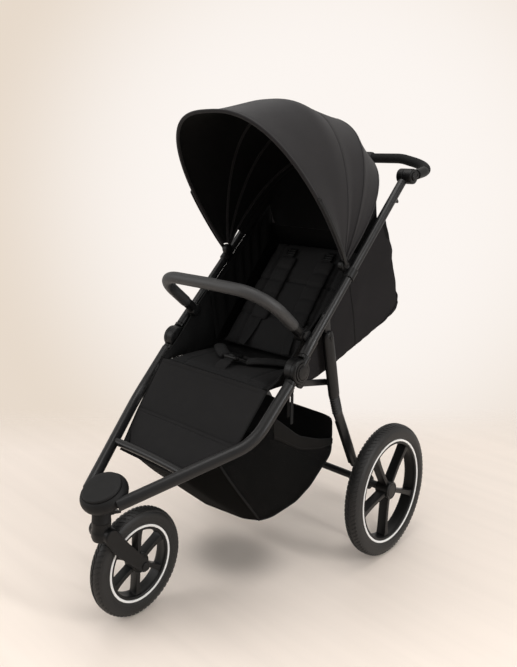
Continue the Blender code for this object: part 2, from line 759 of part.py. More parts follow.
def make_bellows(side, sign):
    """The rubber ribs between the sleeve and the lower leg, bending at the knee."""
    start = at_side(LEG_TOP + along(-LEG_TILT) * (LEG_SLEEVE + CLEAR), LEG_X, sign)
    end = at_side(KNEE + along(-LOWER_TILT) * (BELLOWS / 2 - CLEAR), LEG_X, sign)
    count = BELLOWS_RIBS * 2 + 1
    rings = []
    for k in range(count):
        share = k / (count - 1)
        tilt = LEG_TILT + (LOWER_TILT - LEG_TILT) * share
        bulge = 1.0 if k % 2 else 0.84
        wide = (LEG_W * 0.44 * (1 - share) + LOWER_W * 0.52 * share) * bulge
        deep = (LEG_D * 0.50 * (1 - share) + LOWER_D * 0.60 * share) * bulge
        rings.append(leg_ring(start.lerp(end, share), along(-tilt), wide, deep, 14))
    bm = bmesh.new()
    skin(bm, rings)
    obj = place(f"leg_bellows_{side}", bm, start)
    look(obj, (0.015, 0.015, 0.015), 0.75)


def make_lower_leg(side, sign):
    """The lower leg, thinner towards the axle, and the plate that holds the axle."""
    down = along(-LOWER_TILT)
    knee = at_side(KNEE, LEG_X, sign)
    rings = []
    for distance, wide, deep in (
        (BELLOWS / 2, 0.98, 1.0),
        (BELLOWS / 2 + 0.010, 1.0, 1.0),
        (0.090, 0.92, 0.95),
        (LOWER_LENGTH, 0.66, 0.8),
    ):
        rings.append(leg_ring(knee + down * distance, down, LOWER_W / 2 * wide, LOWER_D / 2 * deep))
    bm = bmesh.new()
    skin(bm, rings)
    leg = place(f"lower_leg_{side}", bm, knee)
    look(leg, BLACK, 0.4)
    foot = at_side(LEG_FOOT - down * 0.022, LEG_X, sign)
    axle = at_side(REAR_AXLE, LEG_X, sign)
    thick = LOWER_D * 0.62
    inner = ACROSS * -thick / 2
    plate = strap(foot + inner, 0.0095, axle + inner, 0.0185, ACROSS, thick)
    combine(leg, place(f"axle_plate_{side}", plate, axle, helper=True), "UNION")
    hole = turned([(REAR_AXLE_R + CLEAR, -0.04), (REAR_AXLE_R + CLEAR, 0.04)], axle, ACROSS, 14)
    combine(leg, place(f"axle_hole_{side}", hole, axle, helper=True), "DIFFERENCE")


def make_rear_axle():
    """The cross tube, with a stub at each end for the wheel, and the brake pedal that swings on it."""
    stub = REAR_X + 0.0135
    shoulder = REAR_X - 0.022 - RUN
    profile = [
        (AXLE_R, -stub),
        (AXLE_R, -shoulder),
        (REAR_AXLE_R, -shoulder),
        (REAR_AXLE_R, shoulder),
        (AXLE_R, shoulder),
        (AXLE_R, stub),
    ]
    obj = place("rear_axle", turned(profile, REAR_AXLE, ACROSS, 14), REAR_AXLE)
    look(obj, BLACK, 0.4, 0.5)
    room = REAR_AXLE_R + CLEAR
    clamp = turned([(0.0165, -0.035), (0.0165, 0.035)], REAR_AXLE, ACROSS, 20)
    pedal = place("brake_pedal", clamp, REAR_AXLE)
    look(pedal, BLACK, 0.5)
    root = REAR_AXLE - ACROSS * 0.030
    heel = root + Vector((0, 0.006, 0.004))
    toe = root + Vector((0, 0.052, 0.017))
    step = strap(heel, 0.010, toe, 0.004, ACROSS, 0.060)
    combine(pedal, place("pedal_step", step, REAR_AXLE, helper=True), "UNION")
    bore = turned([(room, -0.06), (room, 0.06)], REAR_AXLE, ACROSS, 14)
    combine(pedal, place("pedal_bore", bore, REAR_AXLE, helper=True), "DIFFERENCE")


def make_links():
    """The bar from each hub to its rear leg, on the inner side of both, on a pin at the hub."""
    for side, sign in sides():
        x = TUBE_X - HUB_IN - RUN
        start = at_side(LINK, x, sign)
        bar = strap(start, LINK_W / 2, at_side(LINK_FREE, x, sign), LINK_W / 2, ACROSS * -sign, LINK_T)
        obj = place(f"fold_link_{side}", bar, start)
        look(obj, BLACK, 0.4, 0.5)
        housing = bpy.data.objects[f"hub_housing_{side}"]
        add_pin(housing, obj, f"link_pin_{side}", start, ACROSS * -sign, 0.0038, -0.002, LINK_T + 0.001)


def handle_path():
    """The handlebar's middle line, from the left arm round to the right one."""
    reach = along(HANDLE_TILT) * HANDLE_REACH
    start = at_side(HANDLE, HANDLE_ARM_X, 1) + along(HANDLE_TILT) * (JOINT_R * 0.75)
    corner = at_side(HANDLE + reach, HANDLE_ARM_X, 1)
    top = Vector((0, corner.y, corner.z + HANDLE_RISE))
    half = filleted([start, corner, top + ACROSS * HANDLE_FLAT, top], [HANDLE_BEND, 0.12], steps=5)
    return half + mirrored(half[:-1])[::-1]


def make_handle():
    """The joint housings on the upper tubes and the handlebar that tilts between them."""
    split = TUBE_X + 0.0012
    for side, sign in sides():
        centre = at_side(HANDLE, 0, sign)
        inner = [(JOINT_R * 0.86, TUBE_X - 0.018), (JOINT_R, TUBE_X - 0.015), (JOINT_R, split - CLEAR)]
        joint = turned(inner, centre, ACROSS * sign, 20)
        obj = place(f"handle_joint_{side}", joint, at_side(HANDLE, TUBE_X, sign))
        look(obj, BLACK, 0.42)
    path = handle_path()
    bar = place("handlebar", swept(path, GRIP_R, GRIP_R, 12, wide=UP), HANDLE)
    look(bar, (0.03, 0.03, 0.03), 0.82)
    for side, sign in sides():
        cheek = turned(
            [(JOINT_R, split), (JOINT_R, HANDLE_ARM_X + 0.008), (JOINT_R * 0.9, HANDLE_ARM_X + 0.011)],
            at_side(HANDLE, 0, sign),
            ACROSS * sign,
            20,
        )
        combine(bar, place(f"handle_cheek_{side}", cheek, HANDLE, helper=True), "UNION")
        well = turned(
            [(BUTTON_R + CLEAR, HANDLE_ARM_X + 0.003), (BUTTON_R + CLEAR, HANDLE_ARM_X + 0.03)],
            at_side(HANDLE, 0, sign),
            ACROSS * sign,
            16,
        )
        combine(bar, place(f"button_well_{side}", well, HANDLE, helper=True), "DIFFERENCE")
        low = HANDLE_ARM_X + 0.003 + BUTTON_STEP + CLEAR
        button = turned(
            [(BUTTON_R, low), (BUTTON_R, low + 0.006), (BUTTON_R * 0.8, low + 0.0075)],
            at_side(HANDLE, 0, sign),
            ACROSS * sign,
            16,
        )
        knob = place(f"handle_button_{side}", button, at_side(HANDLE, HANDLE_ARM_X, sign))
        look(knob, BLACK, 0.4)
    make_fold_trigger(path[len(path) // 2])


def make_fold_trigger(middle):
    """The housing in the middle of the handlebar, with the trigger that frees the fold under it."""
    half = 0.036
    sleeve = [
        (GRIP_R + CLEAR, -half),
        (GRIP_R + 0.0045, -half + 0.004),
        (GRIP_R + 0.0055, 0.0),
        (GRIP_R + 0.0045, half - 0.004),
        (GRIP_R + CLEAR, half),
    ]
    housing = place("handle_housing", turned(sleeve, middle, ACROSS, 20), middle)
    look(housing, BLACK, 0.45)
    chin = rounded_box((0.046, 0.026, 0.020), middle - UP * (GRIP_R + 0.008), bevel=0.004)
    combine(housing, place("housing_chin", chin, middle, helper=True), "UNION")
    slot = rounded_box((0.0266, 0.0116, 0.030), middle - UP * (GRIP_R + 0.0235), bevel=0.001, segments=1)
    combine(housing, place("trigger_slot", slot, middle, helper=True), "DIFFERENCE")
    bore = turned([(GRIP_R + CLEAR, -0.06), (GRIP_R + CLEAR, 0.06)], middle, ACROSS, 24)
    combine(housing, place("housing_bore", bore, middle, helper=True), "DIFFERENCE")
    trigger = rounded_box((0.026, 0.011, 0.014), middle - UP * (GRIP_R + 0.0215), bevel=0.002)
    lever = place("fold_trigger", trigger, middle - UP * (GRIP_R + 0.0215))
    look(lever, BLACK, 0.5)


def bumper_path():
    """The bumper bar's middle line, from the left end round to the right one."""
    out = along(BUMPER_TILT)
    start = at_side(BUMPER, BUMPER_X, 1)
    corner = start + out * BUMPER_REACH
    half = filleted([start, corner, Vector((0, corner.y, corner.z)) + out * 0.004], [BUMPER_BEND], steps=8)
    return half + mirrored(half[:-1])[::-1]


def make_bumper():
    """The padded bar across the seat, with a plastic end on each upper tube."""
    path = resampled(bumper_path(), 37)
    length = sum((b - a).length for a, b in zip(path, path[1:]))
    skip = max(1, round(BUMPER_END / length * (len(path) - 1)))
    grip = swept(path[skip:-skip], BUMPER_R, BUMPER_R, 12, wide=UP)
    obj = place("bumper_grip", grip, BUMPER)
    look(obj, (0.035, 0.035, 0.036), 0.6)
    for side, sign in sides():
        ends = path[: skip + 1] if sign > 0 else path[::-1][: skip + 1]
        stop = ends[-1] - (ends[-1] - ends[-2]).normalized() * CLEAR
        stem = swept([ends[0], stop], BUMPER_R * 0.9, BUMPER_R * 0.9, 12, wide=UP)
        root = at_side(BUMPER, BUMPER_X, sign)
        end = place(f"bumper_end_{side}", stem, root)
        look(end, BLACK, 0.45)
        face = BRACKET_X - RUN - BUMPER_X
        disc = turned([(0.015, -0.012), (0.0165, -0.009), (0.0165, face)], root, ACROSS * sign, 18)
        combine(end, place(f"bumper_disc_{side}", disc, root, helper=True), "UNION")
        tube = bpy.data.objects[f"upper_tube_{side}"]
        low = at_side(on_tube(BUMPER_Y + 0.012), BRACKET_X, sign)
        bracket = strap(low, 0.011, at_side(BUMPER, BRACKET_X, sign), 0.0135, ACROSS * sign, 0.0062)
        combine(tube, place(f"bumper_bracket_{side}", bracket, low, helper=True), "UNION")
        reach = face - 0.010, face + RUN + 0.002
        add_pin(tube, end, f"bumper_pin_{side}", root, ACROSS * sign, 0.004, *reach)


def bow_point(bow, turn):
    """A point on a bow: turn runs from -90 at the right pivot over the top to 90 at the left."""
    angle, height, half = bow[:3]
    lift = bow[3] if len(bow) > 3 else 0.0
    t = math.radians(turn)
    up = abs(math.cos(t)) ** (2 / BOW_POWER)
    x = half * pinched(up) * math.copysign(abs(math.sin(t)) ** (2 / BOW_POWER), t)
    return PIVOT + ACROSS * x + along(angle + lift * up) * height * up


def pinched(up):
    """How much of its half width a bow keeps at this share of its height."""
    return 1 - PINCH * (1 - up) ** 3


def canopy_grid(first, second, rows, sag, lift=0.0, low=2.5):
    """Cloth between two bows, drawn in a little between them."""
    turns = [-90 + low + (180 - 2 * low) * k / 24 for k in range(25)]
    grid = []
    for r in range(rows + 1):
        share = r / rows
        bow = tuple(a + (b - a) * share for a, b in zip(first, second))
        dip = 1 - sag * math.sin(math.pi * share)
        bow = (bow[0], bow[1] * dip, bow[2] * (1 - sag * 0.35 * math.sin(math.pi * share)), lift * share)
        grid.append([bow_point(bow, t) for t in turns])
    return grid


def inset_bow(bow, degrees):
    return (bow[0] + degrees, bow[1], bow[2])


def flap_foot(count):
    """The lower edge of the canopy's back: inside each upper tube, then along the tub's top edge."""
    half = FLAP_X
    rise = TUB_TOP_Z + 0.001
    stops = [
        Vector((half, PIVOT_Y + 0.0575, on_tube(PIVOT_Y + 0.0575).z + 0.0135)),
        Vector((half, PIVOT_Y + 0.1175, on_tube(PIVOT_Y + 0.1175).z + 0.004)),
        Vector((half - 0.002, TUB_TOP_Y - 0.022, on_tube(TUB_TOP_Y - 0.022).z - 0.006)),
        Vector((half - 0.006, TUB_TOP_Y - 0.006, rise + 0.017)),
        Vector((half - 0.014, TUB_TOP_Y - 0.0035, rise)),
        Vector((0, TUB_TOP_Y - 0.0035, rise)),
    ]
    marks = (0.0, 0.25, 0.45, 0.58, 0.64, 1.0)
    half_count = count // 2
    edge = []
    for k in range(half_count + 1):
        share = k / half_count
        i = max(j for j in range(len(marks) - 1) if marks[j] <= share)
        part = (share - marks[i]) / (marks[i + 1] - marks[i])
        edge.append(stops[i].lerp(stops[i + 1], part))
    return mirrored(edge) + edge[:-1][::-1]


def make_canopy():
    """Cloth panels between the bows, and the thin arm that carries the front bow on each side."""
    seam = 0.4  # degrees from each bow to the panel's edge
    panels = (
        ("canopy_visor", RIM, BOW_A, 4, 0.050),
        ("canopy_middle", BOW_A, BOW_B, 2, 0.016),
        ("canopy_rear", BOW_B, BOW_C, 2, 0.016),
    )
    for name, first, second, rows, sag in panels:
        grid = canopy_grid(inset_bow(first, -seam), inset_bow(second, seam), rows, sag)
        sheet(name, grid, CLOTH, BLACK, 0.9, PIVOT)
    grid = canopy_grid(inset_bow(BOW_C, -seam), BACK, 2, 0.0, lift=BACK_LIFT, low=6)
    foot = flap_foot(len(grid[-1]))
    grid += [[a.lerp(b, k / 3) for a, b in zip(grid[2], foot)] for k in (1, 2, 3)]
    sheet("canopy_back", grid, CLOTH, BLACK, 0.9, PIVOT)
    for side, sign in sides():
        out = along(RIM[0])
        lift = CLOTH / 2 + ARM_T + CLEAR
        reaches = [0.045 + (ARM_LENGTH - 0.045) * k / 6 for k in range(7)]
        path = [at_side(PIVOT, ARM_X, sign)]
        path += [at_side(PIVOT + out * r, rim_x(r) + lift, sign) for r in reaches]
        arm = swept(path, ARM_T, 0.0062, 8)
        obj = place(f"canopy_arm_{side}", arm, at_side(PIVOT, TUBE_X, sign))
        look(obj, BLACK, 0.4)
        face = CLIP_X + RUN - TUBE_X
        centre = at_side(PIVOT, TUBE_X, sign)
        profile = [(0.0095, face), (0.0095, face + 0.0045), (0.0080, face + 0.0060)]
        root = turned(profile, centre, ACROSS * sign, 16)
        combine(obj, place(f"canopy_root_{side}", root, at_side(PIVOT, TUBE_X, sign), helper=True), "UNION")


def rim_x(reach):
    """The half width of the front bow at this height above the pivot."""
    up = reach / RIM[1]
    return RIM[2] * pinched(up) * (1 - up**BOW_POWER) ** (1 / BOW_POWER)


def clip_seat(sign):
    """The middle of the band that grips an upper tube."""
    return at_side(on_tube(PIVOT_Y + 0.012), TUBE_X, sign)


def make_canopy_clips():
    """The round clip on each upper tube that the canopy turns in."""
    for side, sign in sides():
        centre = at_side(PIVOT, TUBE_X, sign)
        face = CLIP_X - TUBE_X
        profile = [
            (0.0135, face - 0.0160),
            (0.0150, face - 0.0130),
            (0.0150, face - 0.0015),
            (0.0135, face),
        ]
        knuckle = turned(profile, centre, ACROSS * sign, 18)
        obj = place(f"canopy_clip_{side}", knuckle, centre)
        look(obj, BLACK, 0.42)
        seat = clip_seat(sign)
        reach = along(TUBE_TILT) * CLIP_BAND / 2
        band = swept([seat - reach, seat + reach], CLIP_BAND_R, CLIP_BAND_R, 18)
        combine(obj, place(f"clip_band_{side}", band, centre, helper=True), "UNION")
        bore = swept([seat - reach * 2, seat + reach * 2], UPPER_R + CLEAR, UPPER_R + CLEAR, 12)
        combine(obj, place(f"clip_bore_{side}", bore, centre, helper=True), "DIFFERENCE")
        arm = bpy.data.objects[f"canopy_arm_{side}"]
        add_pin(obj, arm, f"canopy_pin_{side}", centre, ACROSS * sign, 0.004, face - 0.002, face + 0.009)


def make_seat():
    """The seat cushion, the backrest, and the panel that hangs from the seat's front to the crossbar."""
    front = Vector((0, SEAT_FRONT_Y, SEAT_Z))
    base = [front + Vector((0, 0.0017, 0)), Vector((0, SEAT_REAR_Y - 0.014, SEAT_Z))]
    cushion("seat_cushion", base, [SEAT_X, SEAT_X - 0.004], SEAT_THICK, (), HUB)
    way = along(BACK_ANGLE)
    low = HINGE + way * 0.012 - along(BACK_ANGLE + 90) * BACK_DROP
    rest = [low, low + way * BACK_LENGTH]
    cushion("backrest", rest, [BACK_X, BACK_X - 0.014], BACK_THICK, (0.30, 0.62), HINGE)
    calf = Vector((0, CALF_Y, CALF_Z))
    bar = Vector((0, CROSS_Y, lower_tube_at(CROSS_Y).z + CROSS_BOW * 0.5))
    start = front + (calf - front).normalized() * 0.004
    foot = bar + (calf - bar).normalized() * 0.002
    panel = cushion("calf_panel", [start, calf, foot], [SEAT_X, CALF_X, FOOT_X], PANEL, (0.5,), HUB)
    cope = swept(crossbar_path(), CROSS_R + CLEAR, (CROSS_R + CLEAR) * 1.13, 12, wide=UP)
    combine(panel, place("calf_panel_cope", cope, bar, helper=True), "DIFFERENCE")


def cushion(name, path, halves, thick, channels, origin):
    """A flat cushion along the path: crowned, its edges drawn in, with sewn channels across it."""
    columns, rows = 8, 10
    last = len(path) - 1
    rings = []
    for r in range(rows + 1):
        share = r / rows
        i = min(int(share * last), last - 1)
        part = share * last - i
        middle = path[i].lerp(path[i + 1], part)
        half = halves[i] + (halves[i + 1] - halves[i]) * part
        before = path[max(i - (part == 0), 0)]
        normal = (path[i + 1] - before).normalized().cross(ACROSS)
        normal = normal if normal.z > 0 else -normal
        end = math.sin(math.pi * (share * 0.92 + 0.04)) ** 0.35
        dent = 1.0 - 0.35 * sum(math.exp(-(((share - c) / 0.035) ** 2)) for c in channels)
        ring = []
        for k in range(columns * 2):
            t = 2 * math.pi * (k + 0.5) / (columns * 2)
            u = math.copysign(abs(math.cos(t)) ** 0.35, math.cos(t))
            v = math.copysign(abs(math.sin(t)) ** 0.7, math.sin(t))
            up = v * thick / 2 * (1 - 0.25 * u * u) * end * (dent if v > 0 else 1.0)
            ring.append(middle + ACROSS * half * u + normal * (up - thick / 2))
        rings.append(ring)
    bm = bmesh.new()
    skin(bm, rings)
    obj = place(name, bm, origin)
    look(obj, BLACK, 0.9)
    return obj


def tub_outline():
    """The seat tub's side view: under the seat, back to the corner and up to the upper tubes."""
    return [
        Vector((0, TUB_LOW_Y - 0.060, TUB_LOW_Z)),
        Vector((0, TUB_LOW_Y, TUB_LOW_Z + 0.001)),
        Vector((0, TUB_LOW_Y + 0.085, TUB_LOW_Z + 0.0236)),
        Vector((0, TUB_CORNER_Y - 0.014, TUB_CORNER_Z - 0.006)),
        Vector((0, TUB_CORNER_Y, TUB_CORNER_Z + 0.010)),
        Vector((0, TUB_CORNER_Y - 0.026, TUB_CORNER_Z + 0.105)),
        Vector((0, TUB_TOP_Y, TUB_TOP_Z)),
    ]


def make_tub():
    """The cloth tub that hangs between the upper tubes behind the backrest: floor, back and both sides."""
    hang = UPPER_R + TUB_WALL / 2 + CLEAR - 0.0015
    half_columns = ((1.0, 1.0), (0.99, 0.88), (0.98, 0.30), (0.95, 0.0), (0.5, 0.0))
    columns = [(-s, lift) for s, lift in half_columns] + [(0.0, 0.0)] + list(reversed(half_columns))
    grid = []
    for point in tub_outline():
        top_y = min(max(point.y, TUB_LOW_Y - 0.045), TUB_TOP_Y - 0.004)
        edge = on_tube(top_y, 0) - along(90 + TUBE_TILT) * hang
        row = []
        for share, lift in columns:
            spot = point.lerp(edge, lift)
            half = TUB_LOW_X + (TUB_X - TUB_LOW_X) * max(lift > 0, min(1.0, (spot.z - TUB_LOW_Z) / 0.08))
            half = TUB_EDGE_X if lift == 1.0 else half
            row.append(Vector((half * share, spot.y, spot.z)))
        grid.append(row)
    tub = sheet("seat_tub", grid, TUB_WALL, BLACK, 0.92, HUB)
    reach = along(TUBE_TILT) * (CLIP_BAND / 2 + CLEAR)
    for side, sign in sides():
        seat = clip_seat(sign)
        room = swept([seat - reach, seat + reach], CLIP_BAND_R + CLEAR, CLIP_BAND_R + CLEAR, 18)
        combine(tub, place(f"tub_room_{side}", room, seat, helper=True), "DIFFERENCE")


def make_harness():
    """Shoulder pads on the backrest, and the waist pads and buckle that lie on the seat."""
    normal = along(BACK_ANGLE + 90)
    for side, sign in sides():
        start = HINGE + along(BACK_ANGLE) * 0.105 + ACROSS * PAD_X * sign + normal * (0.0066 - BACK_DROP)
        rings = []
        count = PAD_RIBS * 4
        for r in range(count + 1):
            share = r / count
            gather = 1.0 - 0.22 * (0.5 + 0.5 * math.cos(2 * math.pi * PAD_RIBS * share))
            middle = start + along(BACK_ANGLE) * PAD_LENGTH * share
            ring = []
            for k in range(12):
                t = 2 * math.pi * (k + 0.5) / 12
                u = math.copysign(abs(math.cos(t)) ** 0.6, math.cos(t)) * PAD_W / 2 * (0.9 + 0.1 * gather)
                v = math.copysign(abs(math.sin(t)) ** 0.8, math.sin(t)) * 0.008 * gather
                ring.append(middle + ACROSS * u + normal * v)
            rings.append(ring)
        bm = bmesh.new()
        skin(bm, rings)
        obj = place(f"shoulder_pad_{side}", bm, HINGE)
        look(obj, BLACK, 0.9)
    make_waist_belt()
    make_strap()


def make_waist_belt():
    """The padded belt across the seat, with the buckle that closes it in the middle."""
    level = SEAT_Z + 0.0066
    middle = SEAT_FRONT_Y + 0.085
    half = [
        Vector((0.126, SEAT_REAR_Y - 0.030, level)),
        Vector((0.100, SEAT_REAR_Y - 0.052, level)),
        Vector((0.060, middle + 0.018, level)),
        Vector((0.022, middle, level)),
    ]
    path = resampled(half + mirrored(half)[::-1], 15)
    belt = swept(path, 0.0185, 0.0070, 12, wide=UP.cross(ACROSS), swell=belt_width)
    look(place("waist_belt", belt, HUB), BLACK, 0.9)
    bm = rounded_box((0.046, 0.036, 0.014), Vector((0, middle - 0.002, level + 0.0132)), bevel=0.004)
    look(place("harness_buckle", bm, HUB), BLACK, 0.4)


def belt_width(share):
    """The belt is narrow under the buckle and full on each side."""
    return 0.75 + 0.25 * min(1.0, abs(share - 0.5) / 0.14)


def make_strap():
    """The webbing that hangs through the eye under the left hub."""
    eye = strap_eye(1)
    low, high = eye.x - 0.0055, eye.x + 0.0055
    top = eye.z - 0.004
    corners = [(low, eye.z - 0.066), (low, top), (high, top), (high, eye.z - 0.080)]
    path = filleted([Vector((x, eye.y, z)) for x, z in corners], [0.003, 0.003], steps=3)
    webbing = swept(path, 0.0053, 0.0008, 8, wide=Vector((0, 1, 0)))
    look(place("hub_webbing", webbing, eye), (0.03, 0.03, 0.03), 0.9)


def basket_rim(share):
    """The basket's rim on the left: share runs 0 at the front middle, 1 at the rear middle."""
    bar = crossbar_path()[5]
    knee = lower_tube_at(BEND_Y + 0.03)
    hang = TUBE_R + BASKET_WALL / 2 + CLEAR
    under = lower_tube_at(BEND_Y + 0.058) - along(90 + TUBE_TILT) * hang
    stops = [
        bar + Vector((0, 0.003, -0.0098)),
        Vector((0.086, CROSS_Y + 0.010, bar.z - 0.020)),
        Vector((knee.x - TUBE_R - 0.012, BEND_Y + 0.03, knee.z - 0.040)),
        Vector((BASKET_X + 0.010, under.y, under.z)),
        Vector((BASKET_X, -0.036, 0.389)),
        Vector((BASKET_X, 0.050, 0.356)),
        Vector((BASKET_X, BASKET_REAR_Y, 0.342)),
        Vector((BASKET_X - 0.006, BASKET_REAR_Y + 0.006, 0.398)),
        Vector((0, BASKET_REAR_Y + 0.008, 0.400)),
    ]
    place_on = share * (len(stops) - 1)
    i = min(int(place_on), len(stops) - 2)
    return stops[i].lerp(stops[i + 1], place_on - i)


def basket_floor(share):
    """The edge of the basket's floor, at the same shares as its rim."""
    stops = [
        Vector((0, -0.165, BASKET_FLOOR_Z - 0.004)),
        Vector((BASKET_LOW_X * 0.75, -0.155, BASKET_FLOOR_Z)),
        Vector((BASKET_LOW_X, -0.138, BASKET_FLOOR_Z + 0.006)),
        Vector((BASKET_LOW_X + 0.012, -0.100, BASKET_FLOOR_Z + 0.006)),
        Vector((BASKET_LOW_X + 0.026, -0.030, BASKET_FLOOR_Z + 0.024)),
        Vector((BASKET_X - 0.004, 0.020, BASKET_FLOOR_Z + 0.050)),
        Vector((BASKET_X - 0.002, 0.070, BASKET_FLOOR_Z + 0.088)),
        Vector((BASKET_X - 0.010, 0.082, BASKET_FLOOR_Z + 0.098)),
        Vector((0, 0.084, BASKET_FLOOR_Z + 0.096)),
    ]
    place_on = share * (len(stops) - 1)
    i = min(int(place_on), len(stops) - 2)
    return stops[i].lerp(stops[i + 1], place_on - i)


def make_basket():
    """The shopping basket: walls from a rim down to a smaller floor, open above."""
    bm = bmesh.new()
    shares = [k / 16 for k in range(17)]
    loops = []
    for level in (0.0, 0.12, 0.45, 0.8, 0.95, 1.0):
        half = []
        for share in shares:
            rim = basket_rim(share)
            low = basket_floor(share)
            bulge = 0.008 * math.sin(math.pi * min(1.0, level * 1.05))
            point = rim.lerp(low, level)
            out = Vector((point.x, point.y + 0.03, 0))
            out = out.normalized() if out.length > 0 else out
            half.append(point + out * bulge)
        loops.append(half + mirrored(half[1:-1])[::-1])
    made = [[bm.verts.new(p) for p in loop] for loop in loops]
    for high, low in zip(made, made[1:]):
        for i in range(len(high)):
            j = (i + 1) % len(high)
            bm.faces.new((high[i], high[j], low[j], low[i]))
    floor = made[-1]
    count = len(floor)
    for k in range(1, count // 2):
        a, b = floor[k], floor[(k + 1) % count]
        c, d = floor[count - k - 1], floor[count - k]
        if len({a, b, c, d}) == 4:
            bm.faces.new((a, b, c, d))
    bm.faces.new((floor[0], floor[1], floor[-1]))
    obj = place("basket", bm, Vector((0, HUB_Y, BASKET_FLOOR_Z)))
    look(obj, BLACK, 0.92)
    thick = obj.modifiers.new("Thickness", "SOLIDIFY")
    thick.thickness = BASKET_WALL
    thick.offset = 0.0


def main():
    for obj in list(bpy.data.objects):
        bpy.data.objects.remove(obj)
    make_lower_tubes()
    make_upper_tubes()
    make_hubs()
    make_head()
    make_crossbar()
    make_wheels()
    make_fork()
    make_swivel_lock()
    make_legs()
    make_rear_axle()
    make_links()
    make_handle()
    make_bumper()
    make_canopy()
    make_canopy_clips()
    make_seat()
    make_tub()
    make_harness()
    make_basket()
    for obj in bpy.data.objects:
        obj.location.y -= MIDDLE_Y


main()
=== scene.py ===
# %% [markdown]
# # A three-wheeled pushchair, dressed for its portrait
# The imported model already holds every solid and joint. This script leaves those solids where they are
# and gives the pushchair its looks: smooth tubes, moulded plastic, rubber, foam and sewn cloth.
# Each step is a cell. A cell of text says what the real piece is and why it is made the way it is.

# %% Start from an empty scene and load the fixed frame
import json
from math import asin, atan2, copysign, cos, degrees, exp, pi, radians, sin, sqrt, tan

import bmesh
import bpy
import numpy as np
from mathutils import Matrix, Vector, noise

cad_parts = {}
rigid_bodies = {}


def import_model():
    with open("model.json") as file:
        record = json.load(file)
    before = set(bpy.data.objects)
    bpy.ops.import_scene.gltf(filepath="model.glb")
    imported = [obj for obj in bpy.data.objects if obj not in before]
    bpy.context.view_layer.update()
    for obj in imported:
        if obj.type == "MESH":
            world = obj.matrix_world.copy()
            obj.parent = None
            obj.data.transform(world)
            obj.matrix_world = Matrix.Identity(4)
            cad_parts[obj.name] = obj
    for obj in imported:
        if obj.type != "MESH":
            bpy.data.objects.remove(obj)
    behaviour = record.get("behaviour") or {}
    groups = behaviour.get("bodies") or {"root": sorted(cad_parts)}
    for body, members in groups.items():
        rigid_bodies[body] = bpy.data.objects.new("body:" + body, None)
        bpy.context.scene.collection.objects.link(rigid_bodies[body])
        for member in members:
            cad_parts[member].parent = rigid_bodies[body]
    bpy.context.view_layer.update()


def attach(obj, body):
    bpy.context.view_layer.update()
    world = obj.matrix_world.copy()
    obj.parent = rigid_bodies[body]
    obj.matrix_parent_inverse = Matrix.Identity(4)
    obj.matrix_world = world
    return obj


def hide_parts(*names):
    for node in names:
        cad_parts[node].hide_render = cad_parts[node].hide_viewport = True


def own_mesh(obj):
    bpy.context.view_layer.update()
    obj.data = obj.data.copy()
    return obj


for startup in list(bpy.data.objects):
    bpy.data.objects.remove(startup)
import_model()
scene = bpy.context.scene
scene.view_settings.view_transform = "Standard"

# %% [markdown]
# ## Camera
# The picture was taken from the child's left and front, a little above the handle, looking down by
# seven degrees. The object sits low and left of the middle, which the lens shift takes up.

# %% Place the camera
camera_data = bpy.data.cameras.new("camera")
camera_data.lens = 38.55
camera_data.sensor_width = 36.0
camera_data.shift_x = 0.1086
camera_data.shift_y = -0.1494
camera = bpy.data.objects.new("camera", camera_data)
camera.location = (1.2347, -1.4127, 1.1053)
camera.rotation_euler = (radians(83.015), 0.0, radians(46.387))
scene.collection.objects.link(camera)
scene.camera = camera
print("camera at", camera.location)

# %% [markdown]
# ## Small helpers for node trees
# Every finish below is a node tree. These helpers add a node and set or link its sockets in one
# line, so that each tree reads like a recipe.


# %% Node helpers
def add(tree, kind, settings=None, **inputs):
    """Adds a node. An input is named by its label, or by i and its number; a socket is linked."""
    made = tree.nodes.new(kind)
    for key, value in (settings or {}).items():
        setattr(made, key, value)
    for key, value in inputs.items():
        by_number = key[0] == "i" and key[1:].isdigit()
        socket = made.inputs[int(key[1:])] if by_number else made.inputs[key.replace("_", " ")]
        if isinstance(value, bpy.types.NodeSocket):
            tree.links.new(value, socket)
        else:
            socket.default_value = value
    return made


def maths(tree, operation, first, second=0.0):
    """A Math node's result."""
    return add(tree, "ShaderNodeMath", {"operation": operation}, i0=first, i1=second).outputs[0]


def span(tree, value, low, high, to_low=0.0, to_high=1.0, kind="LINEAR"):
    """A Map Range node's result."""
    ends = {"i1": low, "i2": high, "i3": to_low, "i4": to_high}
    return add(tree, "ShaderNodeMapRange", {"interpolation_type": kind}, Value=value, **ends).outputs[0]


def clouds(tree, place, scale, detail, rough=0.5):
    """A Noise Texture node's factor."""
    return add(tree, "ShaderNodeTexNoise", Vector=place, Scale=scale, Detail=detail, Roughness=rough).outputs[0]


def vector_maths(tree, operation, **inputs):
    """A Vector Math node's outputs."""
    return add(tree, "ShaderNodeVectorMath", {"operation": operation}, **inputs).outputs


def see_through(tree, share):
    """Makes a material clear where the share is 1."""
    clear = add(tree, "ShaderNodeBsdfTransparent").outputs[0]
    mix = add(tree, "ShaderNodeMixShader", i0=share, i1=tree.nodes["Principled BSDF"].outputs[0], i2=clear)
    tree.links.new(mix.outputs[0], tree.nodes["Material Output"].inputs["Surface"])


def new_tree(name, kind, inputs, outputs):
    """A node tree with named sockets: (label, kind, value) in, (label, kind) out."""
    tree = bpy.data.node_groups.new(name, kind)
    for label, sort, value in inputs:
        socket = tree.interface.new_socket(label, in_out="INPUT", socket_type=sort)
        if value is not None:
            socket.default_value = value
    for label, sort in outputs:
        tree.interface.new_socket(label, in_out="OUTPUT", socket_type=sort)
    return tree, tree.nodes.new("NodeGroupInput").outputs, tree.nodes.new("NodeGroupOutput").inputs


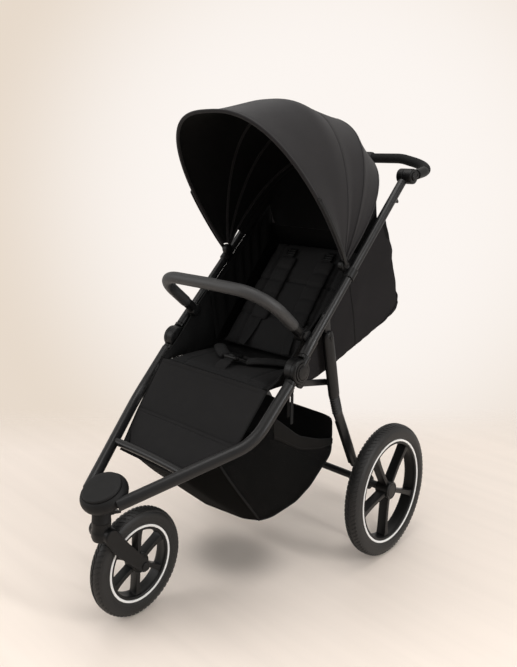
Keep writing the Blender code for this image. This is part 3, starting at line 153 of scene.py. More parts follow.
FLOAT, WHOLE, COLOUR, SPOT = "NodeSocketFloat", "NodeSocketInt", "NodeSocketColor", "NodeSocketVector"
SHAPE, MATERIAL = "NodeSocketGeometry", "NodeSocketMaterial"
print("node helpers ready")

# %% [markdown]
# ## Floor, backdrop and light
# A pale floor runs into a pale room. The floor fades into the world's own colour along a soft line
# behind the wheels, so there is no hard horizon. Large soft lamps light the black frame from above
# and from the front, and leave long thin highlights on the tubes.

# %% Floor and world
WALL = (0.972, 0.92, 0.88)
# The wall's colour holds a painted pool of light: brightest towards one way, fading to painted shade towards
# its edges.
WALL_PAINTED_SHADE = (0.8, 0.7, 0.6)
PAINTED_LIGHT_WAY = (-0.583, 0.81, -0.06)  # towards the brightest part of the wall
FLOOR = (0.945, 0.84, 0.75)
FLOOR_HALF = 14.0
MIRRORED = 0.2  # how much of the wall the glossy pieces show
# The centre of the shadow painted into the floor's colour under the basket.
PAINTED_SHADOW_CENTRE = (0, -0.05, 0)
BEHIND = (-0.724, 0.69, 0)  # away from the camera, along the floor


def floor_material():
    """Pale boards with faint streaks, a painted shadow right under the basket, clear beyond a line behind the
    object.
    """
    material = bpy.data.materials.new("pale_floor")
    material.use_nodes = True
    tree = material.node_tree
    shader = tree.nodes["Principled BSDF"]
    place = add(tree, "ShaderNodeTexCoord").outputs["Object"]
    boards = {"Rotation": (0, 0, radians(46)), "Scale": (0.5, 9, 1)}
    streak = add(tree, "ShaderNodeMapping", Vector=place, **boards).outputs[0]
    ramp = span(tree, clouds(tree, streak, 2.2, 4.0), 0.3, 0.7, 0.955)
    soft = span(tree, clouds(tree, place, 1.3, 2.0), 0.3, 0.7, 0.975)
    # Painted shadow: the floor's colour falls to 0.44 of itself under the basket and is back to full 0.18 m
    # away.
    under = vector_maths(tree, "DISTANCE", i0=place, i1=PAINTED_SHADOW_CENTRE)["Value"]
    shade = span(tree, under, 0.02, 0.18, 0.44, 1.0, "SMOOTHERSTEP")
    level = maths(tree, "MULTIPLY", maths(tree, "MULTIPLY", ramp, soft), shade)
    tree.links.new(vector_maths(tree, "SCALE", i0=FLOOR, Scale=level)[0], shader.inputs["Base Color"])
    shader.inputs["Roughness"].default_value = 0.42
    away = vector_maths(tree, "DOT_PRODUCT", i0=place, i1=BEHIND)["Value"]
    see_through(tree, span(tree, away, 0.62, 1.05))
    return material


def make_floor():
    mesh = bpy.data.meshes.new("floor")
    corners = [(x * FLOOR_HALF, y * FLOOR_HALF, 0) for x, y in ((-1, -1), (1, -1), (1, 1), (-1, 1))]
    mesh.from_pydata(corners, [], [(0, 1, 2, 3)])
    floor = bpy.data.objects.new("floor", mesh)
    mesh.materials.append(floor_material())
    scene.collection.objects.link(floor)


def make_world(fill):
    """What the camera and reflections see is the pale wall, with a painted pool of light and painted shade at
    its edges; everything else gets the fill light.
    """
    world = bpy.data.worlds.new("room")
    scene.world = world
    world.use_nodes = True
    tree = world.node_tree
    tree.nodes.clear()
    path = add(tree, "ShaderNodeLightPath").outputs
    seen = maths(tree, "MAXIMUM", path["Is Camera Ray"], path["Is Transmission Ray"])
    seen = maths(tree, "MAXIMUM", seen, maths(tree, "MULTIPLY", path["Is Glossy Ray"], MIRRORED))
    way = add(tree, "ShaderNodeTexCoord").outputs["Generated"]
    near = vector_maths(tree, "DOT_PRODUCT", i0=way, i1=PAINTED_LIGHT_WAY)["Value"]
    # Painted light on the wall: the full wall colour near the bright way, the darker painted shade elsewhere.
    painted_glow = span(tree, near, 0.885, 0.99, kind="SMOOTHSTEP")
    tint = add(tree, "ShaderNodeMix", {"data_type": "RGBA"}, Factor=painted_glow)
    tint.inputs[6].default_value = (*WALL_PAINTED_SHADE, 1)
    tint.inputs[7].default_value = (*WALL, 1)
    wall = add(tree, "ShaderNodeBackground", Color=tint.outputs[2], Strength=1.0)
    light = add(tree, "ShaderNodeBackground", Color=(1.0, 0.985, 0.97, 1), Strength=fill)
    mix = add(tree, "ShaderNodeMixShader", i0=seen, i1=light.outputs[0], i2=wall.outputs[0])
    add(tree, "ShaderNodeOutputWorld", Surface=mix.outputs[0])


def softbox(name, where, aim, size, power, colour=(1, 1, 1)):
    """A large square lamp that faces a point."""
    data = bpy.data.lights.new(name, "AREA")
    data.shape = "RECTANGLE"
    data.size, data.size_y = size
    data.energy = power
    data.color = colour
    lamp = bpy.data.objects.new(name, data)
    lamp.location = where
    lamp.rotation_euler = (Vector(aim) - Vector(where)).to_track_quat("-Z", "Y").to_euler()
    scene.collection.objects.link(lamp)


make_floor()
make_world(fill=0.6)
softbox("overhead", (0, -0.2, 3.0), (0, 0, 0.4), (1.9, 1.9), 34, (1, 0.98, 0.96))
softbox("front_left", (-1.9, -2.3, 1.9), (0, 0, 0.6), (1.5, 1.8), 24)
softbox("near_side", (2.6, 0.3, 1.6), (0, 0, 0.6), (0.35, 2.0), 34)
print("floor, world and three soft lamps")

# %% [markdown]
# ## Shared textures
# The same few surfaces come back all over the pushchair. Each is a group of nodes that gives out a
# colour, a roughness and a height: woven cloth, moulded plastic, powder-coated metal, rubber and
# foam. A material then only chooses the values. All of them read Object coordinates, which is safe
# because every piece keeps its place in its mesh.


# %% Shader groups for the surfaces
def dust_on(tree, place, amount):
    """A mask of fine dust: most on faces that look up, broken by noise."""
    normal = add(tree, "ShaderNodeNewGeometry").outputs["Normal"]
    up = add(tree, "ShaderNodeSeparateXYZ", Vector=normal).outputs["Z"]
    patch = span(tree, clouds(tree, place, 38.0, 5.0, 0.65), 0.35, 0.8, 0.15)
    return maths(tree, "MULTIPLY", maths(tree, "MULTIPLY", span(tree, up, 0.1, 1.0), patch), amount)


DUST = (0.2, 0.19, 0.18)


def tinted(tree, colour, level, dust):
    """The colour times a level, with grey dust over it."""
    mix = add(tree, "ShaderNodeMix", {"data_type": "RGBA"}, Factor=dust)
    tree.links.new(vector_maths(tree, "SCALE", i0=colour, Scale=level)[0], mix.inputs[6])
    mix.inputs[7].default_value = (*DUST, 1)
    return mix.outputs[2]


SURFACE_IN = [
    ("Colour", COLOUR, (0.02, 0.02, 0.02, 1)), ("Roughness", FLOAT, 0.5), ("Scale", FLOAT, 1.0),
    ("Contrast", FLOAT, 0.1), ("Dust", FLOAT, 0.0),
]
SURFACE_OUT = [("Colour", COLOUR), ("Roughness", FLOAT), ("Height", FLOAT)]


def surface_group(name, height_of):
    """A group whose height and level come from height_of(tree, place, scale)."""
    tree, given, gives = new_tree(name, "ShaderNodeTree", SURFACE_IN, SURFACE_OUT)
    place = add(tree, "ShaderNodeTexCoord").outputs["Object"]
    height, level = height_of(tree, place, given["Scale"])
    broad = clouds(tree, place, 7.0, 3.0)
    spread = maths(tree, "SUBTRACT", maths(tree, "ADD", level, broad), 1.0)
    shade = maths(tree, "ADD", maths(tree, "MULTIPLY", spread, given["Contrast"]), 1.0)
    dust = dust_on(tree, place, given["Dust"])
    tree.links.new(tinted(tree, given["Colour"], shade, dust), gives["Colour"])
    rough = maths(tree, "ADD", given["Roughness"], maths(tree, "MULTIPLY", spread, 0.1))
    rough = maths(tree, "ADD", rough, maths(tree, "MULTIPLY", dust, 0.35))
    tree.links.new(rough, gives["Roughness"])
    tree.links.new(height, gives["Height"])
    return tree


def weave_height(tree, place, scale):
    """Threads that cross: a fine wave along each axis, with slubs where yarn is thicker."""
    total = None
    for axis in "XYZ":
        density = maths(tree, "MULTIPLY", scale, 175.0)
        bands = {"bands_direction": axis}
        wave = add(tree, "ShaderNodeTexWave", bands, Vector=place, Scale=density, Distortion=0.6)
        value = wave.outputs["Fac"]
        total = value if total is None else maths(tree, "ADD", total, value)
    threads = maths(tree, "MULTIPLY", total, 0.33)
    slub = clouds(tree, place, 420.0, 3.0, 0.7)
    return maths(tree, "ADD", maths(tree, "MULTIPLY", threads, 0.6), maths(tree, "MULTIPLY", slub, 0.4)), slub


def grain_height(tree, place, scale):
    """The fine leather-like grain of a moulding tool."""
    density = maths(tree, "MULTIPLY", scale, 900.0)
    cells = add(tree, "ShaderNodeTexVoronoi", {"feature": "SMOOTH_F1"}, Vector=place, Scale=density)
    blotch = clouds(tree, place, 240.0, 4.0)
    return maths(tree, "ADD", maths(tree, "MULTIPLY", cells.outputs[0], 0.6), blotch), blotch


def paint_height(tree, place, scale):
    """Powder coat: a soft orange peel and hairline scuffs."""
    peel = clouds(tree, place, maths(tree, "MULTIPLY", scale, 520.0), 1.5)
    long_way = add(tree, "ShaderNodeMapping", Vector=place, Scale=(60, 6, 6)).outputs[0]
    scuff = clouds(tree, long_way, 9.0, 6.0, 0.75)
    return maths(tree, "ADD", peel, maths(tree, "MULTIPLY", scuff, 0.3)), scuff


def rubber_height(tree, place, scale):
    """Rubber: fine pits and a dull bloom."""
    pits = clouds(tree, place, maths(tree, "MULTIPLY", scale, 700.0), 5.0, 0.8)
    return pits, clouds(tree, place, 26.0, 4.0)


def foam_height(tree, place, scale):
    """Closed-cell foam: many tiny open bubbles."""
    density = maths(tree, "MULTIPLY", scale, 620.0)
    cells = add(tree, "ShaderNodeTexVoronoi", Vector=place, Scale=density)
    return span(tree, cells.outputs["Distance"], 0.0, 0.5), clouds(tree, place, 150.0, 3.0)


GROUPS = {
    "cloth": surface_group("Woven cloth", weave_height),
    "plastic": surface_group("Moulded plastic", grain_height),
    "paint": surface_group("Powder coat", paint_height),
    "rubber": surface_group("Rubber", rubber_height),
    "foam": surface_group("Foam", foam_height),
}
print("surface groups", sorted(GROUPS))

# %% [markdown]
# ## The finishes
# Black on black is told apart by gloss and texture: satin paint, dull plastic, a soft foam and two
# cloths, one for the outside and a darker one for the seat.


# %% Materials
RELIEF = 0.0004  # metres between the low and the high of a surface's grain


def finish(name, group, colour, roughness, scale=1.0, contrast=0.5, dust=0.0, bump=0.25, gloss=0.5,
           slot=None, **own):
    """A material from a surface group. own are values of the shader's own sockets."""
    material = bpy.data.materials.new(name)
    material.use_nodes = True
    tree = material.node_tree
    shader = tree.nodes["Principled BSDF"]
    values = {"Roughness": roughness, "Scale": scale, "Contrast": contrast, "Dust": dust}
    look = {"node_tree": GROUPS[group]}
    surface = add(tree, "ShaderNodeGroup", look, Colour=(*colour, 1), **values).outputs
    relief = add(tree, "ShaderNodeBump", Height=surface["Height"], Strength=bump, Distance=RELIEF)
    tree.links.new(surface["Colour"], shader.inputs["Base Color"])
    tree.links.new(surface["Roughness"], shader.inputs["Roughness"])
    tree.links.new(relief.outputs[0], shader.inputs["Normal"])
    for key, value in {"Specular_IOR_Level": gloss, **own}.items():
        shader.inputs[key.replace("_", " ")].default_value = value
    material.diffuse_color = (*colour, 1)
    return material


FRAME = finish("frame_paint", "paint", (0.0065, 0.0065, 0.0069), 0.35, dust=0.01, bump=0.02, gloss=0.32)
JOINT = finish("joint_plastic", "plastic", (0.0038, 0.0038, 0.004), 0.4, dust=0.01, gloss=0.22)
SOFT_PLASTIC = finish("nose_plastic", "plastic", (0.0052, 0.0052, 0.0054), 0.58, dust=0.03, gloss=0.22)
RIM_PLASTIC = finish("rim_plastic", "plastic", (0.0052, 0.0052, 0.0053), 0.42, dust=0.015, gloss=0.25,
                     slot="rim_black")
GRIP = finish("grip_foam", "foam", (0.023, 0.023, 0.0234), 0.52, contrast=0.4, dust=0.03)
HANDLE_FOAM = finish("handle_foam", "foam", (0.006, 0.006, 0.0061), 0.78, contrast=0.4, bump=0.5, gloss=0.2)
TYRE = finish("tyre_rubber", "rubber", (0.0095, 0.0095, 0.0094), 0.5, contrast=0.7, dust=0.035, gloss=0.36,
              slot="tyre_black")
BELLOWS = finish("bellows_rubber", "rubber", (0.0075, 0.0075, 0.0075), 0.6, dust=0.03, slot="bellows_rubber")
RING = finish("ring_white", "plastic", (0.78, 0.78, 0.77), 0.35, contrast=0.06, bump=0.05, slot="ring_white")


def cloth_finish(name, colour, roughness, bump=0.5, gloss=0.12, **more):
    """Black cloth hardly shines."""
    return finish(name, "cloth", colour, roughness, bump=bump, gloss=gloss, **more)


CLOTH = cloth_finish("outer_cloth", (0.014, 0.013, 0.0138), 0.86, dust=0.04, Sheen_Weight=0.1)
TUB_CLOTH = cloth_finish("tub_cloth", (0.0118, 0.0109, 0.0115), 0.88, dust=0.02)
SEAT_CLOTH = cloth_finish("seat_cloth", (0.015, 0.0148, 0.015), 0.9, scale=0.8)
# The inner cloth: partly the inside's own black, and darker than the outer cloth as painted shade for the
# insides of the canopy and tub.
LINER_PAINTED_SHADE = cloth_finish("lining_painted_shade", (0.0042, 0.0042, 0.0043), 0.9, scale=0.8)
PANEL_CLOTH = cloth_finish("panel_cloth", (0.0122, 0.0118, 0.012), 0.8, bump=0.4, contrast=0.4, dust=0.02)
BASKET_CLOTH = cloth_finish("basket_cloth", (0.002, 0.0019, 0.0016), 0.85, bump=0.4, gloss=0.06)
BAND_CLOTH = cloth_finish("band_cloth", (0.005, 0.0046, 0.0042), 0.85, bump=0.4)
PIPING = cloth_finish("seam_piping", (0.0048, 0.0048, 0.0048), 0.7, scale=1.6, contrast=0.3, bump=0.3)
WEBBING = cloth_finish("webbing", (0.01, 0.01, 0.0102), 0.75, scale=1.3, contrast=0.4, bump=0.7)
THREAD = cloth_finish("thread", (0.014, 0.014, 0.0142), 0.6, scale=3.0, contrast=0.3, bump=0.1)
print("materials", len(bpy.data.materials))

# %% [markdown]
# ## Building with rings
# Almost every rigid part of the pushchair is a row of rings joined by quads: a tube is circles along
# a path, a wheel is circles round an axle, a leg is ovals. A plate is a belt shape round two bosses.
# These helpers build such shells in bmesh, and `piece` gathers shells into one finished object.

# %% Shell helpers
UP, ACROSS, BACKWARD = Vector((0, 0, 1)), Vector((1, 0, 0)), Vector((0, 1, 0))


def at(x, y, z):
    return Vector((x, y, z))


def along(angle):
    """A direction in the side view, in degrees from the back towards the top."""
    return at(0, cos(radians(angle)), sin(radians(angle)))


def at_side(point, x, sign):
    return at(x * sign, point.y, point.z)


def mirror_to(sign, stops):
    """Points given for the left side, on the side of the sign."""
    return [at(x * sign, y, z) for x, y, z in stops]


SIDES = (("left", 1), ("right", -1))  # the child's left is +X


def mirrored(points):
    return [at(-p.x, p.y, p.z) for p in points]


def powered(value, power):
    """The value to a power, with its own sign."""
    return copysign(abs(value) ** power, value)


def oval(centre, axis, width, depth, steps, wide, power=1.0):
    """A ring across the axis: width along the wide direction, depth across it. power below 1 squares it."""
    axis = Vector(axis).normalized()
    first = (wide - axis * wide.dot(axis)).normalized()
    second = axis.cross(first)
    ring = []
    for k in range(steps):
        t = 2 * pi * k / steps
        ring.append(centre + first * width * powered(cos(t), power) + second * depth * powered(sin(t), power))
    return ring


def shell(rings, closed=False, bevel=0.0):
    """Joins rings by quads, with a cap at each end or the last ring joined to the first."""
    bm = bmesh.new()
    made = [[bm.verts.new(p) for p in ring] for ring in rings]
    pairs = list(zip(made[:-1], made[1:])) + ([(made[-1], made[0])] if closed else [])
    for low, high in pairs:
        count = len(low)
        for i in range(count):
            j = (i + 1) % count
            bm.faces.new((low[i], low[j], high[j], high[i]))
    if not closed:
        bm.faces.new(made[0])
        bm.faces.new(made[-1])
    bmesh.ops.recalc_face_normals(bm, faces=bm.faces)
    return softened(bm, bevel)


def softened(bm, bevel):
    """Rounds the sharp edges a little, as every moulded or cut part has them."""
    if bevel > 0:
        sharp = [e for e in bm.edges if len(e.link_faces) == 2 and e.calc_face_angle(0) > radians(42)]
        bmesh.ops.bevel(
            bm, geom=sharp, offset=bevel, segments=2, profile=0.6, affect="EDGES", clamp_overlap=True)
    return bm


def lathe(profile, centre, axis, steps, closed=False, bevel=0.0):
    """A shell turned from (radius, distance along the axis) points."""
    axis = Vector(axis).normalized()
    wide = UP if abs(axis.z) < 0.9 else ACROSS
    rings = [oval(centre + axis * h, axis, r, r, steps, wide) for r, h in profile]
    return shell(rings, closed=closed, bevel=bevel)


def even(half):
    """A profile or section that is the same on both sides of its middle, from its first half."""
    return half + [(r, -h) for r, h in reversed(half)]


def plate(first, first_r, second, second_r, normal, thickness, steps=14, bevel=0.0008):
    """A belt shape round two circles, grown along the normal."""
    normal = Vector(normal).normalized()
    way = (second - first).normalized()
    side = normal.cross(way)
    lean = asin(max(-1, min(1, (first_r - second_r) / (second - first).length)))
    outline = []
    for centre, radius, start, end in (
        (second, second_r, -pi / 2 + lean, pi / 2 - lean),
        (first, first_r, pi / 2 - lean, 3 * pi / 2 + lean),
    ):
        for k in range(steps + 1):
            t = start + (end - start) * k / steps
            outline.append(centre + (way * cos(t) + side * sin(t)) * radius)
    shift = normal * thickness
    return shell([outline, [p + shift for p in outline]], bevel=bevel)


def block(size, centre, bevel, turn=None, segments=3):
    """A box with rounded edges, turned if a matrix is given."""
    bm = bmesh.new()
    bmesh.ops.create_cube(bm, size=1.0, matrix=Matrix.Diagonal((*size, 1.0)))
    bmesh.ops.bevel(bm, geom=bm.edges, offset=bevel, segments=segments, profile=0.5, affect="EDGES")
    where = Matrix.Translation(centre) @ (turn.to_4x4() if turn else Matrix.Identity(4))
    bmesh.ops.transform(bm, matrix=where, verts=bm.verts)
    return bm


def tangents(path):
    last = len(path) - 1
    return [(path[min(i + 1, last)] - path[max(i - 1, 0)]).normalized() for i in range(last + 1)]


def rod(path, width, depth=None, steps=24, wide=ACROSS, swell=None, power=1.0, bevel=0.0):
    """An oval rod along a path."""
    rings = []
    for i, (point, axis) in enumerate(zip(path, tangents(path))):
        grow = swell(i / (len(path) - 1)) if swell else 1.0
        rings.append(oval(point, axis, width * grow, (depth or width) * grow, steps, wide, power))
    return shell(rings, bevel=bevel)


def filleted(points, radii, steps=16):
    """The path through the points with an arc of each radius at each inner corner."""
    path = [points[0]]
    for before, corner, after, radius in zip(points, points[1:], points[2:], radii):
        into = (before - corner).normalized()
        out = (after - corner).normalized()
        half = into.angle(out) / 2
        middle = corner + (into + out).normalized() * radius / sin(half)
        start = corner + into * radius / tan(half) - middle
        end = corner + out * radius / tan(half) - middle
        turn = start.angle(end)
        for k in range(steps + 1):
            t = k / steps
            mix = start * sin(turn * (1 - t)) + end * sin(turn * t)
            path.append(middle + mix / sin(turn))
    return path + [points[-1]]


def line_length(path):
    return sum((b - a).length for a, b in zip(path, path[1:]))


def between(stops, marks, share):
    """The point at a share of the way, on straight lines between stops at their marks."""
    i = max(j for j in range(len(marks) - 1) if marks[j] <= share + 1e-12)
    part = (share - marks[i]) / max(marks[i + 1] - marks[i], 1e-12)
    return stops[i].lerp(stops[i + 1], min(part, 1.0))


def resampled(path, count):
    """The path again with its points evenly spaced."""
    lengths = [0.0]
    for a, b in zip(path, path[1:]):
        lengths.append(lengths[-1] + (b - a).length)
    return [between(path, lengths, lengths[-1] * k / (count - 1)) for k in range(count)]


def smooth_path(points, count):
    """A Catmull-Rom curve through the points, evenly spaced."""
    padded = [points[0] * 2 - points[1], *points, points[-1] * 2 - points[-2]]
    dense = []
    for p0, p1, p2, p3 in zip(padded, padded[1:], padded[2:], padded[3:]):
        for k in range(12):
            t = k / 12
            square, cube = (2 * p0 - 5 * p1 + 4 * p2 - p3) * t**2, (3 * p1 - p0 - 3 * p2 + p3) * t**3
            dense.append(0.5 * (2 * p1 + (p2 - p0) * t + square + cube))
    return resampled(dense + [points[-1]], count)


def sheet_shell(outer, under, inner):
    """The closed shell between two grids of points. The second grid's faces take the inner material."""
    bm = bmesh.new()
    top, low = ([[bm.verts.new(p) for p in row] for row in grid] for grid in (outer, under))
    last = len(top[0]) - 1
    for a, b, c, d in zip(top, top[1:], low, low[1:]):
        for k in range(last):
            bm.faces.new((a[k], a[k + 1], b[k + 1], b[k]))
            bm.faces.new((c[k], d[k], d[k + 1], c[k + 1])).material_index = inner
        for k in (0, last):
            bm.faces.new((a[k], b[k], d[k], c[k]))
    for a, c in ((top[0], low[0]), (top[-1], low[-1])):
        for k in range(last):
            bm.faces.new((a[k], a[k + 1], c[k + 1], c[k]))
    bmesh.ops.recalc_face_normals(bm, faces=bm.faces)
    return bm


def gathered(shells):
    """Several closed shells in one mesh."""
    bm = bmesh.new()
    for part in shells:
        loose = bpy.data.meshes.new("shell")
        part.to_mesh(loose)
        part.free()
        bm.from_mesh(loose)
        bpy.data.meshes.remove(loose)
    return bm


def piece(name, shells, material, body, replaces=(), angle=36):
    """One object at the origin, riding on its body, that may stand for CAD nodes."""
    materials = material if isinstance(material, list) else [material]
    bm = gathered(shells) if isinstance(shells, list) else shells
    mesh = bpy.data.meshes.new(name)
    bm.to_mesh(mesh)
    bm.free()
    mesh.shade_smooth()
    mesh.set_sharp_from_angle(angle=radians(angle))
    for one in materials:
        mesh.materials.append(one)
    obj = bpy.data.objects.new(name, mesh)
    scene.collection.objects.link(obj)
    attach(obj, body)
    if replaces:
        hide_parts(*replaces)
    return obj


print("shell helpers ready")

# %% [markdown]
# ## Geometry Nodes for what repeats
# Three trees do the repeated work: one sweeps a round profile along a path (the frame tubes and the
# handlebar), one lays stitches along a path, and one copies a block round an axle (the tread blocks).
# Each ends in Realize Instances and Set Material, and its result is turned into a plain mesh.


# %% Node trees that sweep and repeat
def geometry_tree(name, inputs):
    shape = ("Geometry", SHAPE)
    return new_tree(name, "GeometryNodeTree", [(*shape, None), *inputs, ("Material", MATERIAL, None)], [shape])


def close_tree(tree, geometry, material, gives):
    """Every tree ends alike: real geometry, smooth faces, one material."""
    real = add(tree, "GeometryNodeRealizeInstances", Geometry=geometry).outputs[0]
    smooth = add(tree, "GeometryNodeSetShadeSmooth", Geometry=real).outputs[0]
    painted = add(tree, "GeometryNodeSetMaterial", Geometry=smooth, Material=material).outputs[0]
    tree.links.new(painted, gives[0])


def tube_tree():
    tree, given, gives = geometry_tree("Tube along a path", [("Radius", FLOAT, 0.01), ("Sides", WHOLE, 32)])
    curve = add(tree, "GeometryNodeMeshToCurve", Mesh=given["Geometry"]).outputs[0]
    ring = add(tree, "GeometryNodeCurvePrimitiveCircle", Resolution=given["Sides"], Radius=given["Radius"])
    tube = add(tree, "GeometryNodeCurveToMesh", Curve=curve, Profile_Curve=ring.outputs[0], Fill_Caps=True)
    close_tree(tree, tube.outputs[0], given["Material"], gives)
    return tree


def stitch_tree():
    sizes = [("Pitch", FLOAT, 0.005), ("Length", FLOAT, 0.0034), ("Thickness", FLOAT, 0.0009)]
    tree, given, gives = geometry_tree("Stitches along a path", sizes)
    curve = add(tree, "GeometryNodeMeshToCurve", Mesh=given["Geometry"]).outputs[0]
    spaced = add(tree, "GeometryNodeResampleCurve", {"mode": "LENGTH"}, Curve=curve, Length=given["Pitch"])
    points = add(tree, "GeometryNodeCurveToPoints", {"mode": "EVALUATED"}, Curve=spaced.outputs[0])
    thread = add(tree, "GeometryNodeMeshIcoSphere", Radius=0.5, Subdivisions=2).outputs[0]
    size = add(tree, "ShaderNodeCombineXYZ", X=given["Thickness"], Y=given["Thickness"], Z=given["Length"])
    points = points.outputs
    placed = {"Points": points["Points"], "Rotation": points["Rotation"], "Scale": size.outputs[0]}
    laid = add(tree, "GeometryNodeInstanceOnPoints", Instance=thread, **placed)
    close_tree(tree, laid.outputs[0], given["Material"], gives)
    return tree


def round_tree():
    layout = [("Count", WHOLE, 12), ("Centre", SPOT, (0, 0, 0))]
    tree, given, gives = geometry_tree("Copies round an axle", layout)
    back = vector_maths(tree, "SCALE", i0=given["Centre"], Scale=-1.0)[0]
    local = add(tree, "GeometryNodeTransform", Geometry=given["Geometry"], Translation=back).outputs[0]
    points = add(tree, "GeometryNodePoints", Count=given["Count"], Position=given["Centre"]).outputs[0]
    share = maths(tree, "DIVIDE", add(tree, "GeometryNodeInputIndex").outputs[0], given["Count"])
    angle = maths(tree, "MULTIPLY", share, 2 * pi)
    turn = add(tree, "ShaderNodeCombineXYZ", X=angle).outputs[0]
    copies = add(tree, "GeometryNodeInstanceOnPoints", Points=points, Instance=local, Rotation=turn).outputs[0]
    close_tree(tree, copies, given["Material"], gives)
    return tree


TUBES, STITCHES, ROUND = tube_tree(), stitch_tree(), round_tree()


def run_tree(tree, mesh, values):
    """Runs a geometry tree on a mesh and gives back the plain mesh that it makes."""
    carrier = bpy.data.objects.new("carrier", mesh)
    scene.collection.objects.link(carrier)
    step = carrier.modifiers.new("nodes", "NODES")
    step.node_group = tree
    sockets = {s.name: s.identifier for s in tree.interface.items_tree if s.in_out == "INPUT"}
    for label, value in values.items():
        step[sockets[label]] = value
    graph = bpy.context.evaluated_depsgraph_get()
    made = bpy.data.meshes.new_from_object(carrier.evaluated_get(graph), depsgraph=graph)
    bpy.data.objects.remove(carrier)
    return made


def line_mesh(paths):
    """Paths as loose edges, which Mesh to Curve turns into splines."""
    points, edges = [], []
    for path in paths:
        start = len(points)
        points += [tuple(p) for p in path]
        edges += [(start + i, start + i + 1) for i in range(len(path) - 1)]
    mesh = bpy.data.meshes.new("lines")
    mesh.from_pydata(points, edges, [])
    return mesh


def as_shell(mesh):
    bm = bmesh.new()
    bm.from_mesh(mesh)
    bpy.data.meshes.remove(mesh)
    bmesh.ops.recalc_face_normals(bm, faces=bm.faces)
    return bm


def tube(paths, radius, material, sides_of_tube):
    """Round tubes along one or more paths, as one shell."""
    paths = paths if isinstance(paths[0], (list, tuple)) else [paths]
    values = {"Radius": radius, "Sides": sides_of_tube, "Material": material}
    return as_shell(run_tree(TUBES, line_mesh(paths), values))


def stitches(paths, material, pitch, length, thickness):
    """Rows of stitches, each a small bead of thread."""
    values = {"Pitch": pitch, "Length": length, "Thickness": thickness, "Material": material}
    return as_shell(run_tree(STITCHES, line_mesh(paths), values))


def copies_round(bm, count, centre, material):
    """Copies of a shell round an axle along X."""
    mesh = bpy.data.meshes.new("copied")
    bm.to_mesh(mesh)
    bm.free()
    values = {"Count": count, "Centre": tuple(centre), "Material": material}
    return as_shell(run_tree(ROUND, mesh, values))


print("geometry trees", TUBES.name, STITCHES.name, ROUND.name)

# %% [markdown]
# ## Driving sizes
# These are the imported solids' own sizes, in metres. Everything below is placed from them.

# %% Sizes of the frame
TUBE_X, TUBE_R, UPPER_R, TILT = 0.217, 0.014, 0.0115, 43.4
HUB = at(0, -0.074, 0.57)
HUB_R, HUB_IN, HUB_GAP = 0.031, 0.02, 0.0408
UPPER_FOOT = HUB + along(TILT + 90) * 0.006
HANDLE = UPPER_FOOT + along(TILT) * 0.653
BEND = at(0.2093, -0.2216, HUB.z + (-0.2216 - HUB.y) * tan(radians(TILT)))
TUBE_END = at(0.054, -0.4961, 0.3211)
HEAD_Y = -0.5005
HEAD = at(0, HEAD_Y + 0.009, 0.3275)
REAR_AXLE = at(0, 0.2595, 0.178)
FRONT_AXLE = at(0, -0.4005, 0.128)
REAR_X, TYRE_W, RING_W = 0.27, 0.041, 0.0058
LEG_TILT, LOWER_TILT = 78.0, 63.0
HINGE = at(0, 0.0455, 0.536)
REST_TILT = 49.0
REST_WAY, REST_OUT = along(REST_TILT), along(REST_TILT + 90)
HANDLE_X, HANDLE_WAY = 0.233, along(8.5)
BUMPER_X = 0.1882
STRAP_EYE = at(TUBE_X - HUB_IN + 0.006, HUB.y - 0.008, HUB.z - 0.052)


def on_tube(y, x=TUBE_X):
    """A point on an upper tube's middle line."""
    lift = 0.006 / cos(radians(TILT))
    return at(x, y, HUB.z + lift + (y - HUB.y) * tan(radians(TILT)))


LEG_TOP = on_tube(0.0472, 0) - UP * 0.0625
BUMPER = on_tube(-0.0235, 0) + UP * 0.0192
LINK = HUB + at(0, 0.0315, -0.044)
LINK_FREE = LEG_TOP + along(-LEG_TILT) * 0.13
KNEE = LEG_TOP + along(-LEG_TILT) * (0.165 + 0.023)
LEG_FOOT = KNEE + along(-LOWER_TILT) * 0.215
PIVOT = on_tube(0.127, 0) + UP * 0.0346
print("handle at", HANDLE, "canopy pivot at", PIVOT)

# %% [markdown]
# ## The side tubes
# Each lower tube runs down from the hub, turns in and forward at one bend, and ends in the nose. The
# upper tube is straight and thinner. The solids have few sides, so the tube tree sweeps a round one
# with forty sides along the same line.


# %% Lower tubes, crossbar and upper tubes
def lower_tube_path():
    start = at_side(HUB - along(TILT) * HUB_GAP, TUBE_X, 1)
    return filleted([start, BEND, TUBE_END], [0.15])


def lower_tube_at(y):
    path = lower_tube_path()
    for a, b in zip(path, path[1:]):
        if b.y <= y <= a.y:
            return a.lerp(b, (a.y - y) / (a.y - b.y))
    return path[-1]


def crossbar_path():
    left = lower_tube_at(-0.3625)
    shares = (1 - k / 12 for k in range(25))
    return [at(left.x * k, -0.3625, left.z + 0.004 * (1 - k**2)) for k in shares]


